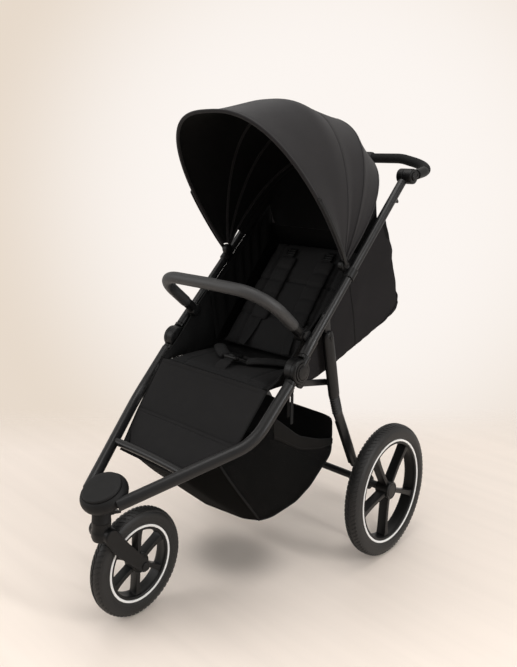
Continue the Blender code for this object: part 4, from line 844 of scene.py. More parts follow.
def make_tubes():
    for side, sign in SIDES:
        path = lower_tube_path() if sign > 0 else mirrored(lower_tube_path())
        piece(f"side_tube_{side}", tube(path, TUBE_R, FRAME, 40), FRAME, "lower_frame", [f"lower_tube_{side}"])
        start = at_side(UPPER_FOOT + along(TILT) * HUB_GAP, TUBE_X, sign)
        end = at_side(HANDLE - along(TILT) * 0.0217, TUBE_X, sign)
        parts = [tube([start, end], UPPER_R, FRAME, 40)]
        sleeve_end = start + along(TILT) * 0.047
        parts.append(rod([start, sleeve_end - along(TILT) * 0.002, sleeve_end], 0.0135, steps=40, bevel=0.0006))
        top = at_side(on_tube(0.0372), TUBE_X - 0.003, sign)
        low = at_side(LEG_TOP, TUBE_X - 0.003, sign)
        parts.append(plate(top, 0.013, low, 0.0095, ACROSS * sign, 0.006))
        low = at_side(on_tube(-0.0115), 0.203, sign)
        parts.append(plate(low, 0.011, at_side(BUMPER, 0.203, sign), 0.0135, ACROSS * sign, 0.0062))
        parts.append(lathe([(0.004, -0.011), (0.004, 0.001)], at_side(BUMPER, 0.2035, sign), ACROSS * sign, 24))
        if side == "left":
            root = at_side(on_tube(0.3375), TUBE_X - 0.004, sign)
            tip = root - along(90 + TILT) * 0.021 + along(TILT) * 0.004
            parts.append(plate(root, 0.008, tip, 0.0042, ACROSS, 0.008, bevel=0.0012))
        piece(f"top_tube_{side}", parts, FRAME, "upper_frame", [f"upper_tube_{side}"])
    path = crossbar_path()
    piece("crossbar", rod(path, 0.009, 0.01035, 32, wide=UP), FRAME, "lower_frame", ["front_crossbar"])
    print("side tubes", len(lower_tube_path()), "points each; crossbar", len(path))


make_tubes()

# %% [markdown]
# ## The fold joints
# At each side two discs turn on each other: a housing on the lower tube and a cover on the upper one.
# The cover has stepped rings, as the moulding has, and a short neck that grips the tube.


# %% Hubs
def neck(centre, way, shift, lift):
    centre = centre + along(TILT + 90) * lift
    end = HUB_GAP - 0.0008
    root = centre + shift
    grip = [centre + way * reach for reach in (HUB_R + 0.0006, HUB_R + 0.002, end)]
    core = rod([root + way * 0.012, root + way * end], 0.0082, steps=28)
    return [core, rod(grip, 0.0126, steps=32, bevel=0.0007)]


def make_hubs():
    for side, sign in SIDES:
        centre = at_side(HUB, TUBE_X, sign)
        axis = ACROSS * sign
        inner = [(share * HUB_R, h) for share, h in (
            (0, -HUB_IN - 0.0005), (0.42, -HUB_IN - 0.0005), (0.45, -HUB_IN + 0.001), (0.8, -HUB_IN),
            (0.96, -HUB_IN + 0.002), (1, -HUB_IN + 0.006), (1, 0.0012), (0.9, 0.0014), (0, 0.0014))]
        parts = [lathe(inner, centre, axis, 72)] + neck(centre, -along(TILT), axis * -0.0095, 0.0)
        anchor = at_side(LINK, TUBE_X - HUB_IN, sign)
        parts.append(plate(at_side(HUB, TUBE_X - HUB_IN, sign), 0.02, anchor, 0.01, axis, 0.009))
        parts.append(lathe([(0.0038, -0.002), (0.0038, 0.007)], anchor, -axis, 24, bevel=0.0005))
        eye = at_side(STRAP_EYE, STRAP_EYE.x, sign)
        ring = [(0.0097 + 0.0028 * cos(t), 0.0025 * sin(t)) for t in (pi * k / 6 for k in range(12))]
        parts.append(lathe(ring, eye, ACROSS, 28, closed=True))
        parts.append(plate(centre - axis * 0.0135 + at(0, -0.004, -0.02), 0.009,
                           eye - axis * 0.0025 + UP * 0.01, 0.0035, axis, 0.005))
        piece(f"hub_inner_{side}", parts, JOINT, "lower_frame", [f"hub_housing_{side}"])
        outer = [(share * HUB_R, h) for share, h in (
            (0, 0.002), (0.9, 0.002), (1, 0.0024), (1, 0.0095), (0.985, 0.0115), (0.93, 0.0138), (0.86, 0.0148),
            (0.8, 0.0148), (0.785, 0.0136), (0.765, 0.0136), (0.75, 0.0165), (0.68, 0.017), (0.6, 0.017),
            (0.585, 0.0152), (0.56, 0.0152), (0.545, 0.018), (0.48, 0.0188), (0.2, 0.0186), (0, 0.0186))]
        parts = [lathe(outer, centre, axis, 80)] + neck(centre, along(TILT), axis * 0.0102, 0.006)
        piece(f"hub_outer_{side}", parts, JOINT, "upper_frame", [f"hub_cover_{side}"], angle=28)
    print("hubs of radius", HUB_R)


make_hubs()

# %% [markdown]
# ## The nose and the caster
# The side tubes end in a rounded nose with a flat cap. Under it a collar holds the caster, whose two
# bent arms trail back to the front wheel. The nose is turned in one profile, which gives its round
# edge and the thin shadow line under the cap.


# %% Nose, cap, caster and lock lever
def head_axis():
    slope = lower_tube_at(-0.3216) - TUBE_END
    return along(90 + degrees(atan2(slope.z, slope.y)))


def make_nose():
    radius, half = 0.0575, 0.019
    profile = [(0, -half * 1.15), (radius * 0.45, -half * 1.15)]
    profile += [(radius + half * (cos(t) - 1), half * sin(t))
                for t in (radians(-90 + 9 * k) for k in range(17))]
    profile.append((0, profile[-1][1]))
    collar = [(0, 0.2657), (0.0218, 0.2657), (0.0225, 0.2668), (0.0225, 0.268), (0.0219, 0.2692),
              (0.0219, 0.3), (0, 0.3)]
    parts = [lathe(profile, HEAD, head_axis(), 96), lathe(collar, at(0, HEAD_Y, 0), UP, 56)]
    hinge = at(0, HEAD_Y + 0.0272, 0.2775)
    root = at(0, HEAD_Y + 0.0162, hinge.z + 0.003)
    for _side, sign in SIDES:
        inner = ACROSS * sign * 0.0074
        parts.append(plate(root + inner, 0.005, hinge + inner, 0.004, ACROSS * sign, 0.0022, bevel=0.0004))
    parts.append(lathe([(0.0018, -0.0078), (0.0018, 0.0078)], hinge, ACROSS, 16))
    piece("nose", parts, SOFT_PLASTIC, "lower_frame", ["front_head"])
    top, base = profile[-2]
    top -= 0.0022
    cap = [(0, 0.0006), (top * 0.96, 0.0006), (top, 0.0016), (top - 0.0004, 0.0038), (top - 0.0016, 0.0052),
           (top - 0.0045, 0.0063), (top * 0.7, 0.007), (top * 0.35, 0.0073), (0, 0.0074)]
    lid = lathe([(r, base + h) for r, h in cap], HEAD, head_axis(), 96)
    piece("nose_cap", lid, SOFT_PLASTIC, "lower_frame", ["head_cap"])
    tip = hinge + at(0, 0.0226, -0.0072)
    lever = plate(hinge - ACROSS * 0.007, 0.0042, tip - ACROSS * 0.007, 0.0022, ACROSS, 0.014, bevel=0.001)
    piece("lock_lever_arm", lever, JOINT, "lock_lever", ["swivel_lock"])


def make_caster():
    outside = 0.035
    stem = [(0, 0.222), (0.0195, 0.222), (0.0213, 0.2225), (0.0242, 0.23), (0.0242, 0.242), (0.0236, 0.2445),
            (0.0222, 0.248), (0.0222, 0.2652), (0, 0.2652)]
    parts = [lathe(stem, at(0, HEAD_Y, 0), UP, 56)]
    crown = at(0, HEAD_Y + 0.006, 0.236)
    knee = at(0, HEAD_Y + 0.034, 0.197)
    shoulder = [(0, -outside), (0.0158, -outside), (0.0176, -outside + 0.0015), (0.0186, -outside + 0.005)]
    parts.append(lathe(even(shoulder), crown, ACROSS, 40))
    for _side, sign in SIDES:
        start = crown + at(0, -0.002, 0.002)
        path = smooth_path([start, knee, knee.lerp(FRONT_AXLE, 0.5), FRONT_AXLE], 44)
        ways = tangents(path)
        path.append(FRONT_AXLE + ways[-1] * 0.0143)
        ways.append(ways[-1])
        rings = []
        for i, (point, way) in enumerate(zip(path, ways)):
            share = min(1.0, i / 43)
            half = (0.019 - 0.0047 * max(0, share - 0.35) / 0.65) * (0.05 if i == 44 else 1.0)
            inner = 0.012 + 0.014 * min(1.0, share / 0.1)
            centre = point + ACROSS * sign * (inner + outside) / 2
            rings.append(oval(centre, way, (outside - inner) / 2, half, 40, ACROSS, 0.42))
        bend = len(rings) - 1
        for k in range(1, 6):
            t = pi / 2 * k / 6
            centre = FRONT_AXLE + ways[-1] * 0.0143 * sin(t) + ACROSS * sign * 0.0305
            rings.insert(bend, oval(centre, ways[-1], 0.0045, 0.0143 * cos(t), 40, ACROSS, 0.42))
            bend += 1
        parts.append(shell(rings))
    cap = outside + 0.0025
    axle = [(0, -cap), (0.0088, -cap), (0.01, -cap + 0.001), (0.01, -0.027), (0.006, -0.027)]
    parts.append(lathe(even(axle), FRONT_AXLE, ACROSS, 32))
    piece("caster_arms", parts, JOINT, "caster", ["caster_fork"])
    print("caster trails", round(FRONT_AXLE.y - HEAD_Y, 3))


make_nose()
make_caster()

# %% [markdown]
# ## Wheels
# Air-filled tyres on moulded rims with deep webbed spokes, and a pale ring on the edge of each rim.
# The tread is one slanted block, copied round the axle by the tree. The spokes are lofted: narrow in
# the wheel's plane, deep along the axle, and spread where they meet the rim.


# %% Wheels
def tread_block(centre, radius, sign, shift, length):
    """One slanted tread block that rises from the tyre, next to the middle line."""
    rings = []
    for k in range(6):
        share = k / 5
        x = sign * (0.0022 + 0.0138 * share)
        drop = 0.0048 * share**2.4
        turn = shift + 0.0105 * share / radius
        out = at(0, sin(turn), cos(turn))
        way = ACROSS.cross(out)
        middle = centre + ACROSS * x
        low, high = radius - drop - 0.0024, radius - drop - 0.00005
        half = length / 2
        rings.append([middle + out * low - way * half, middle + out * low + way * half,
                      middle + out * high + way * half * 0.86, middle + out * high - way * half * 0.86])
    return shell(rings)


def tyre_profile(radius, bed):
    """Shares of the tyre's height over the rim's bed and of its half width, then the crown."""
    half = TYRE_W / 2
    flank = ((0, 0.84), (0.1, 0.93), (0.22, 0.972), (0.36, 0.995), (0.48, 1.0), (0.62, 0.95), (0.74, 0.86),
             (0.84, 0.73), (0.92, 0.55))
    keys = [(bed + (radius - bed) * high, half * wide) for high, wide in flank]
    return even(keys + [(radius - 0.002, half * 0.36), (radius - 0.0013, half * 0.16)])


def spoke_shell(centre, reach, turn, deep, outer):
    out = at(0, sin(turn), cos(turn))
    side = ACROSS.cross(out)
    rings = []
    for share in (0, 0.12, 0.25, 0.5, 0.75, 0.88, 0.95, 1.0):
        point = centre + out * (0.016 + (reach - 0.016) * share)
        wide = 0.0052 + 0.0012 * share + 0.0045 * share**14
        front = ACROSS * outer * deep * (0.93 - 0.16 * sin(pi * share))
        back = ACROSS * outer * -deep
        rings.append([point - side * wide * 0.72 + back, point + side * wide * 0.72 + back,
                      point + side * wide + front, point - side * wide + front])
    return shell(rings, bevel=0.0012)


def make_wheel(name, body, centre, radius, ring, spokes, turn, outer, hub_half):
    axis = ACROSS * outer
    bed, face = ring - RING_W, TYRE_W * 0.42
    count = round(2 * pi * radius / 0.0125)
    parts = [lathe(tyre_profile(radius, ring + 0.0006), centre, axis, 128, closed=True)]
    for sign, shift in ((1, 0.0), (-1, pi / count)):
        block_shell = tread_block(centre, radius, sign, shift, 0.0088)
        parts.append(copies_round(block_shell, count, centre, TYRE))
    for k in range(3):
        r = ring + 0.006 + 0.0042 * k
        bead = [(r + 0.0006 * cos(t), TYRE_W / 2 * (0.945 + 0.018 * k) + 0.0006 * sin(t))
                for t in (pi * j / 4 for j in range(8))]
        parts.append(lathe(bead, centre, axis, 96, closed=True))
    piece(f"{name}_tread", parts, TYRE, body, [f"{name}_tyre"], angle=50)
    foot = bed + 0.0004
    band = [(foot, face - 0.003), (ring, face - 0.003), (ring, face + 0.0004), (ring - 0.0008, face + 0.001),
            (foot + 0.001, face + 0.001), (foot, face + 0.0004)]
    piece(f"{name}_band", lathe(band, centre, axis, 128, closed=True), RING, body, [f"{name}_ring"])
    section = [(0, -face), (0, 0), (0, face - 0.0006), (0.0006, face), (0.0035, face + 0.0006),
               (0.0062, face - 0.001), (0.007, face - 0.003), (0.006, face * 0.4), (0.0055, 0),
               (0.006, -face * 0.4), (0.007, -face + 0.003), (0.0062, -face + 0.001), (0.0035, -face - 0.0006)]
    section = [(bed - deep, h) for deep, h in section]
    parts = [lathe(section, centre, axis, 128, closed=True)]
    hub = [(0.0066, -hub_half), (0.0175, -hub_half), (0.0185, -hub_half + 0.0008), (0.0225, -hub_half + 0.004),
           (0.0225, face - 0.006), (0.0238, face - 0.0035), (0.0238, face + 0.0003), (0.023, face + 0.0012),
           (0.0214, face + 0.0018), (0.02, face + 0.0014), (0.019, face + 0.0004), (0.0176, face + 0.0004),
           (0.0166, face + 0.0016), (0.012, face + 0.0019)]
    bored = name == "front_wheel"
    hub.append((0.0066 if bored else 0.0, face + 0.0019))
    parts.append(lathe(hub, centre, axis, 56, closed=bored))
    for k in range(spokes):
        angle = radians(turn) + 2 * pi * k / spokes
        parts.append(spoke_shell(centre, bed - 0.0045, angle, face - 0.003, outer))
    piece(f"{name}_spokes", parts, RIM_PLASTIC, body, [f"{name}_rim"], angle=30)
    return count


def make_wheels():
    for side, sign in SIDES:
        centre = at_side(REAR_AXLE, REAR_X, sign)
        blocks = make_wheel(f"rear_wheel_{side}", f"wheel_{side}", centre, 0.178, 0.14, 5, -31.0, sign, 0.022)
    make_wheel("front_wheel", "wheel_front", FRONT_AXLE, 0.128, 0.0916, 6, 3.0, 1, 0.02)
    print("tread blocks on a rear tyre", blocks * 2)


make_wheels()

# %% [markdown]
# ## Rear legs and axle
# Each rear leg hangs from its upper tube on a pin. A ribbed rubber sleeve covers the short
# suspension between the upper and the lower leg. The ribs are rings whose size swings in and out.


# %% Legs, bellows, axle, pedal and links
def leg_ring(centre, axis, wide, deep):
    return oval(centre, axis, deep, wide, 40, ACROSS, 0.86)


def leg_shell(top, down, wide, deep, stations):
    """A leg from (distance, share of its width, share of its depth) stations."""
    return shell([leg_ring(top + down * d, down, wide * w, deep * t) for d, w, t in stations])


def make_leg(side, sign):
    down = along(-LEG_TILT)
    top = at_side(LEG_TOP, TUBE_X, sign)
    parts = [leg_shell(top, down, 0.018, 0.011, (
        (-0.0172, 0.2, 0.7), (-0.0165, 0.42, 0.84), (-0.0148, 0.64, 0.93), (-0.012, 0.8, 0.98),
        (-0.006, 0.96, 1.0), (0.002, 1.0, 1.0), (0.1, 1.0, 1.0), (0.15, 0.965, 1.0), (0.1605, 0.94, 1.0),
        (0.164, 0.9, 0.95), (0.165, 0.84, 0.88)))]
    bolt = [(0, -0.0128), (0.0046, -0.0128), (0.0058, -0.0118), (0.0062, -0.0105)]
    parts.append(lathe(even(bolt), top, ACROSS, 36))
    knuckle = [(0, 0.009), (0.0072, 0.009), (0.0072, 0.019), (0.0066, 0.0198), (0, 0.0198)]
    parts.append(lathe(knuckle, at_side(LINK_FREE, TUBE_X, sign), ACROSS * -sign, 32))
    piece(f"rear_leg_{side}", parts, JOINT, "legs", [f"leg_sleeve_{side}"])
    start = at_side(LEG_TOP + along(-LEG_TILT) * 0.1652, TUBE_X, sign)
    end = at_side(KNEE + along(-LOWER_TILT) * 0.0228, TUBE_X, sign)
    rings = []
    steps = 72
    for k in range(steps + 1):
        share = k / steps
        tilt = LEG_TILT + (LOWER_TILT - LEG_TILT) * share
        bulge = 0.87 + 0.13 * cos(2 * pi * 6.5 * share + pi)
        wide = (0.01584 * (1 - share) + 0.0156 * share) * bulge
        deep = (0.011 * (1 - share) + 0.0108 * share) * bulge
        rings.append(leg_ring(start.lerp(end, share), along(-tilt), wide, deep))
    ribs = piece(f"bellows_{side}", shell(rings), BELLOWS, "legs", [f"leg_bellows_{side}"], angle=60)
    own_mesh(ribs)
    down = along(-LOWER_TILT)
    knee = at_side(KNEE, TUBE_X, sign)
    parts = [leg_shell(knee, down, 0.015, 0.009, (
        (0.0232, 0.9, 0.9), (0.024, 0.98, 1.0), (0.033, 1.0, 1.0), (0.0345, 0.96, 0.97), (0.09, 1.0, 0.95),
        (0.15, 0.98, 0.9), (0.205, 0.88, 0.82), (0.213, 0.78, 0.7), (0.215, 0.6, 0.5)))]
    foot = at_side(LEG_FOOT - down * 0.022, TUBE_X, sign)
    axle = at_side(REAR_AXLE, TUBE_X, sign)
    thick = 0.01116
    inside = ACROSS * thick / 2
    parts.append(plate(foot - inside, 0.0095, axle - inside, 0.0185, ACROSS, thick, steps=20, bevel=0.0015))
    parts.append(lathe(even([(0, -0.0085), (0.0135, -0.0085), (0.0145, -0.0075)]), axle, ACROSS, 40))
    front = along(-LOWER_TILT - 90)
    # A flat dark strip along the leg's front: painted shade that stands for a groove down the leg.
    channel = [knee + down * d + front * 0.015 for d in (0.048, 0.1, 0.15, 0.198)]
    groove = rod(channel, 0.0052, 0.0009, steps=16, power=0.5)
    piece(f"leg_groove_painted_shade_{side}", groove, LINER_PAINTED_SHADE, "axle")
    piece(f"lower_leg_tube_{side}", parts, FRAME, "axle", [f"lower_leg_{side}"])


def make_rear_end():
    for side, sign in SIDES:
        make_leg(side, sign)
        x = TUBE_X - HUB_IN - 0.0004
        start = at_side(LINK, x, sign)
        bar = plate(start, 0.008, at_side(LINK_FREE, x, sign), 0.008, ACROSS * -sign, 0.006, bevel=0.0012)
        ring = lathe([(0, 0.0), (0.0058, 0.0), (0.0058, 0.0072), (0.005, 0.008), (0, 0.008)],
                     at_side(LINK_FREE, x, sign), ACROSS * -sign, 28)
        piece(f"link_bar_{side}", [bar, ring], FRAME, "links", [f"fold_link_{side}"])
    stub, shoulder = REAR_X + 0.0133, REAR_X - 0.0224
    half = [(0, -stub), (0.0058, -stub), (0.006, -shoulder), (0.0094, -shoulder), (0.01, -shoulder + 0.001)]
    piece("axle_tube", lathe(even(half), REAR_AXLE, ACROSS, 36), FRAME, "axle", ["rear_axle"])
    clamp = [(0.0104, -0.0345), (0.0158, -0.0345), (0.0165, -0.0335)]
    root = REAR_AXLE - ACROSS * 0.03
    parts = [lathe(even(clamp), REAR_AXLE, ACROSS, 44, closed=True)]
    parts.append(plate(root + at(0, 0.012, 0.006), 0.008, root + at(0, 0.052, 0.017), 0.004, ACROSS, 0.06,
                       bevel=0.0015))
    for k in range(5):
        spot = root + at(0, 0.022 + 0.0065 * k, 0.0148 + 0.0017 * k)
        parts.append(rod([spot + ACROSS * 0.006, spot + ACROSS * 0.054], 0.0014, steps=10))
    piece("pedal_plate", parts, JOINT, "pedal", ["brake_pedal"])
    print("rear legs, links, axle and pedal")


make_rear_end()

# %% [markdown]
# ## Handlebar and bumper
# Both bars carry closed-cell foam. Foam has no hard edge, so each grip tapers a little at its ends and
# meets a plastic collar. The handle turns at two round joints with a push button on each.


# %% Handlebar, trigger, buttons and bumper
JOINT_R = 0.0215
BAR_R, GRIP_RADIUS = 0.0122, 0.0147


def whole_bar(half):
    """Both halves of a bar from its left half, which ends in the middle."""
    return half + mirrored(half[:-1])[::-1]


def handle_path():
    start = at_side(HANDLE, HANDLE_X, 1) + HANDLE_WAY * 0.0161
    corner = at_side(HANDLE + HANDLE_WAY * 0.131, HANDLE_X, 1)
    top = at(0, corner.y, corner.z + 0.027)
    return whole_bar(filleted([start, corner, top + ACROSS * 0.13, top], [0.07, 0.12], steps=18))


def foam_swell(share):
    """Foam is drawn in over its last few millimetres."""
    edge = min(share, 1 - share)
    return 0.9 + 0.1 * min(1.0, edge / 0.012) ** 0.5


def make_handle():
    split = TUBE_X + 0.0012
    for side, sign in SIDES:
        centre = at_side(HANDLE, 0, sign)
        inner = [(0, 0.199), (0.017, 0.199), (0.019, 0.1998), (0.0212, 0.2025), (JOINT_R, 0.204),
                 (JOINT_R, split - 0.0012), (0.0208, split - 0.0005), (0, split - 0.0005)]
        piece(f"joint_inner_{side}", lathe(inner, centre, ACROSS * sign, 64), JOINT, "upper_frame",
              [f"handle_joint_{side}"])
        button = [(0, 0.0), (0.0117, 0.0), (0.0117, 0.0052), (0.0108, 0.0066), (0.0092, 0.0073),
                  (0.006, 0.007), (0, 0.0067)]
        face = at_side(HANDLE, HANDLE_X + 0.0073, sign)
        piece(f"push_button_{side}", lathe(button, face, ACROSS * sign, 48), JOINT, f"button_{side}",
              [f"handle_button_{side}"])
    path = resampled(handle_path(), 160)
    skip = 16
    parts = [tube(path, BAR_R, JOINT, 32)]
    for side, sign in SIDES:
        centre = at_side(HANDLE, 0, sign)
        cheek = [(0.0121, split), (0.0208, split), (JOINT_R, split + 0.0008), (JOINT_R, 0.2405),
                 (0.0208, 0.2425), (0.0193, 0.2438), (0.015, 0.244), (0.0124, 0.2436), (0.0121, 0.24)]
        parts.append(lathe(cheek, centre, ACROSS * sign, 64, closed=True))
        web = [(0, split + 0.001), (BAR_R, split + 0.001), (BAR_R, 0.236), (0, 0.236)]
        parts.append(lathe(web, centre, ACROSS * sign, 40))
        ends = path[:skip] if sign > 0 else path[::-1][:skip]
        parts.append(rod(ends[3:], 0.0145, steps=36, wide=UP, bevel=0.0008))
    foam = rod(path[skip:-skip], GRIP_RADIUS, steps=40, wide=UP, swell=foam_swell)
    piece("handle_bar", parts, JOINT, "handle", ["handlebar"])
    piece("handle_grip_foam", foam, HANDLE_FOAM, "handle")
    middle = path[len(path) // 2]
    sleeve = [(0.0149, 0.036), (0.0166, 0.0355), (0.0182, 0.033), (0.0193, 0.028)]
    sleeve = [(r, -h) for r, h in sleeve] + [(0.0199, 0.0)] + sleeve[::-1]
    parts = [lathe(sleeve, middle, ACROSS, 64, closed=True)]
    for sign in (-1, 1):
        parts.append(block((0.0094, 0.026, 0.02), middle + ACROSS * sign * 0.0183 - UP * 0.0225, 0.003))
        parts.append(block((0.046, 0.0066, 0.02), middle + at(0, sign * 0.0097, -0.0225), 0.0025))
    piece("trigger_housing", parts, JOINT, "handle", ["handle_housing"])
    lever = block((0.026, 0.011, 0.014), middle - UP * 0.036, 0.0028)
    piece("trigger_lever", lever, SOFT_PLASTIC, "trigger", ["fold_trigger"])
    print("handle path", len(path), "points")


def bumper_path():
    out = along(140.0)
    start = at_side(BUMPER, BUMPER_X, 1)
    corner = start + out * 0.186
    return whole_bar(filleted([start, corner, at_side(corner, 0, 1) + out * 0.004], [0.085], steps=24))


def make_bumper():
    path = resampled(bumper_path(), 181)
    length = line_length(path)
    skip = round(0.04 / length * 180)
    piece("bumper_foam", rod(path[skip:-skip], 0.0156, steps=44, wide=UP, swell=foam_swell), GRIP, "bumper",
          ["bumper_grip"])
    for side, sign in SIDES:
        ends = path[: skip + 1] if sign > 0 else path[::-1][: skip + 1]
        root = at_side(BUMPER, BUMPER_X, sign)
        face = 0.0144
        disc = [(0, -0.0125), (0.0135, -0.0125), (0.0152, -0.0115), (0.0165, -0.0085),
                (0.0165, face - 0.0008), (0.0158, face), (0, face)]
        ends[-1] = ends[-1] - tangents(ends)[-1] * 0.0006
        stem = rod(ends[2:], 0.014, steps=36, wide=UP, bevel=0.0008)
        piece(f"bumper_socket_{side}", [stem, lathe(disc, root, ACROSS * sign, 48)], JOINT, "bumper",
              [f"bumper_end_{side}"])
    print("bumper", round(length, 3), "m along its middle line")


make_handle()
make_bumper()

# %% [markdown]
# ## Canopy
# The canopy is four panels of one cloth, sewn together over four bows that fan out from one pivot on
# each side. The cloth is pulled tight between bows and dips a little between them. Inside, the cloth
# is darker, partly its own colour and partly painted shade. A visor half follows the bow it is sewn to,
# so each panel is built in two halves, each riding on its own bow; the real one's pleats flatten towards their
# bows as it closes.


# %% Canopy bows and cloth between them
# Each bow is (its angle in degrees, its height from the pivot, its half width).
RIM_BOW = (126.8, 0.486, 0.228)
BOW_A, BOW_B, BOW_C = (88.0, 0.41, 0.219), (68.0, 0.413, 0.2215), (48.0, 0.392, 0.222)
BACK_EDGE = (40.5, 0.385, 0.2105)
BOW_POWER, PINCH = 2.7, 0.07
CLOTH_T, BOW_STEPS = 0.0016, 128


def from_pivot(point):
    """The way out from the canopy's pivot line."""
    return (point - PIVOT).normalized()


def pinched(up):
    """How much of its half width a bow keeps at this share of its height."""
    return 1 - PINCH * (1 - up) ** 3


def bow_point(bow, turn, out=0.0):
    """A point on a bow. turn runs from -90 at the right pivot over the top to 90 at the left."""
    angle, height, half = bow[:3]
    lift = bow[3] if len(bow) > 3 else 0.0
    t = radians(turn)
    up = abs(cos(t)) ** (2 / BOW_POWER)
    x = (half + out) * pinched(up) * powered(sin(t), 2 / BOW_POWER)
    return PIVOT + ACROSS * x + along(angle + lift * up) * (height + out) * up


def bow_turns(low):
    """Angles along a bow, from low degrees above one pivot to the same on the other side."""
    return [-90 + low + (180 - 2 * low) * k / BOW_STEPS for k in range(BOW_STEPS + 1)]


def bow_line(bow, low, out):
    turns = bow_turns(low)
    return resampled([bow_point(bow, t, out) for t in turns], len(turns))


def ripple(point, scale, seed):
    """Soft noise from -1 to 1, the same on every run."""
    return noise.noise(point * scale + at(seed, seed * 0.7, -seed))


def panel_grid(first, second, rows, sag, lift=0.0, low=0.8, seed=1.0):
    """Cloth between two bows: it dips between them, with a few soft folds that run up from the pivots."""
    turns = bow_turns(low)
    grid = []
    for r in range(rows + 1):
        share = r / rows
        bow = tuple(a + (b - a) * share for a, b in zip(first[:3], second[:3]))
        arch = sin(pi * share)
        dip = sag(share) if callable(sag) else sag * arch
        bow = (bow[0], bow[1] * (1 - dip), bow[2] * (1 - 0.016 * arch), lift * share)
        row = []
        for t in turns:
            point = bow_point(bow, t)
            out = from_pivot(point)
            side = abs(t) / 90
            fold = sin(share * pi * 3 + seed) * 0.0011 * arch * max(0, side - 0.35)
            soft = 0.0011 * arch * ripple(point, 9.0, seed)
            row.append(point + out * (fold + soft))
        grid.append(row)
    return grid


def visor_dip(share):
    """The visor's cloth drops behind the front bow and rises over the wide bow before its rear seam."""
    hollow = 0.085 * sin(pi * share) * max(0, 1 - share) ** 1.4
    crest = 0.012 * exp(-(((share - 0.78) / 0.13) ** 2)) * min(1.0, (1 - share) / 0.08)
    return hollow - crest


def grid_normals(grid):
    """A normal at each point of a grid of points."""
    last_row, last = len(grid) - 1, len(grid[0]) - 1

    def normal(r, k):
        a = grid[min(r + 1, last_row)][k] - grid[max(r - 1, 0)][k]
        b = grid[r][min(k + 1, last)] - grid[r][max(k - 1, 0)]
        return a.cross(b).normalized()

    return [[normal(r, k) for k in range(last + 1)] for r in range(last_row + 1)]


def cloth_shell(grid, thickness=CLOTH_T, outward=None, rows=None, inner=1):
    """A grid of points as cloth of real thickness; its inner side takes the second material."""
    normals = grid_normals(grid)
    r, k = len(grid) // 2, len(grid[0]) // 2
    way = outward if outward is not None else grid[r][k] - PIVOT
    sign = 1 if normals[r][k].dot(way) > 0 else -1
    start, stop = rows or (0, len(grid) - 1)
    cut = list(zip(grid, normals))[start : stop + 1]
    layers = ([[p + n * face * thickness / 2 for p, n in zip(*row)] for row in cut] for face in (sign, -sign))
    return sheet_shell(*layers, inner)


def flap_foot(count):
    """The lower edge of the canopy's back: inside each upper tube, then along the tub's top edge."""
    rise = 0.862
    stops = [
        at(0.19, 0.1845, on_tube(0.1845).z + 0.0135), at(0.19, 0.2445, on_tube(0.2445).z + 0.004),
        at(0.188, 0.2995, on_tube(0.2995).z - 0.006), at(0.184, 0.3155, rise + 0.017),
        at(0.176, 0.318, rise), at(0, 0.318, rise),
    ]
    marks = (0, 0.25, 0.45, 0.58, 0.64, 1)
    edge = [between(stops, marks, k / (count // 2)) for k in range(count // 2 + 1)]
    return mirrored(edge) + edge[:-1][::-1]


BODIES = ("canopy_front", "canopy_mid", "canopy_low", "upper_frame")


def half_panel(name, grid, rows, body, nodes):
    """Half a panel, on the body of the bow it is sewn to."""
    # The inner side takes the dark inner cloth, whose darkness is in part painted shade.
    obj = piece(name, cloth_shell(grid, rows=rows), [CLOTH, LINER_PAINTED_SHADE], body, nodes, angle=60)
    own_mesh(obj)


def make_canopy_panel(name, first, second, rows, sag, bodies, seed):
    grid = panel_grid(first, second, rows, sag, seed=seed)
    half_panel(f"{name}_front", grid, (0, rows // 2), bodies[0], [f"canopy_{name}"])
    half_panel(f"{name}_rear", grid, (rows // 2, rows), bodies[1], [])


def seam_ridge(name, bow, body, width, depth, out, material=CLOTH, low=0.8):
    """A bow in its tunnel: a low ridge on the outside of the cloth and a fuller one inside."""
    path = bow_line(bow, low, out)
    inside = bow_line(bow, low, -0.0035)
    wide = along(bow[0] + 90)
    parts = [rod(path, width, depth, steps=16, wide=wide), rod(inside, 0.0042, 0.003, steps=20, wide=wide)]
    return piece(name, parts, material, body, angle=60)


def make_canopy():
    seam_ridge("bow_visor", RIM_BOW, "canopy_front", 0.004, 0.004, -0.0008)
    seam_ridge("bow_middle", BOW_A, "canopy_mid", 0.0032, 0.0014, 0.0003)
    seam_ridge("bow_rear", BOW_B, "canopy_low", 0.0032, 0.0014, 0.0003)
    seam_ridge("bow_back", BOW_C, "upper_frame", 0.0032, 0.0014, 0.0003)
    seam_ridge("bow_edge", (*BACK_EDGE, 7.0), "upper_frame", 0.0022, 0.0018, 0.0004, PIPING, low=6)
    make_canopy_panel("visor", RIM_BOW, BOW_A, 36, visor_dip, BODIES[:2], 1.0)
    make_canopy_panel("middle", BOW_A, BOW_B, 20, 0.016, BODIES[1:3], 2.0)
    make_canopy_panel("rear", BOW_B, BOW_C, 20, 0.016, BODIES[2:], 3.0)
    grid = panel_grid(BOW_C, BACK_EDGE, 8, 0.0, lift=7.0, low=6, seed=4.0)
    foot = flap_foot(len(grid[-1]))
    grid += [[a.lerp(b, k / 24) for a, b in zip(grid[8], foot)] for k in range(1, 25)]
    # The back's inner side also takes the dark inner cloth, in part painted shade.
    back = piece("canopy_back_cloth", cloth_shell(grid), [CLOTH, LINER_PAINTED_SHADE], "upper_frame", ["canopy_back"], 60)
    make_canopy_hems()


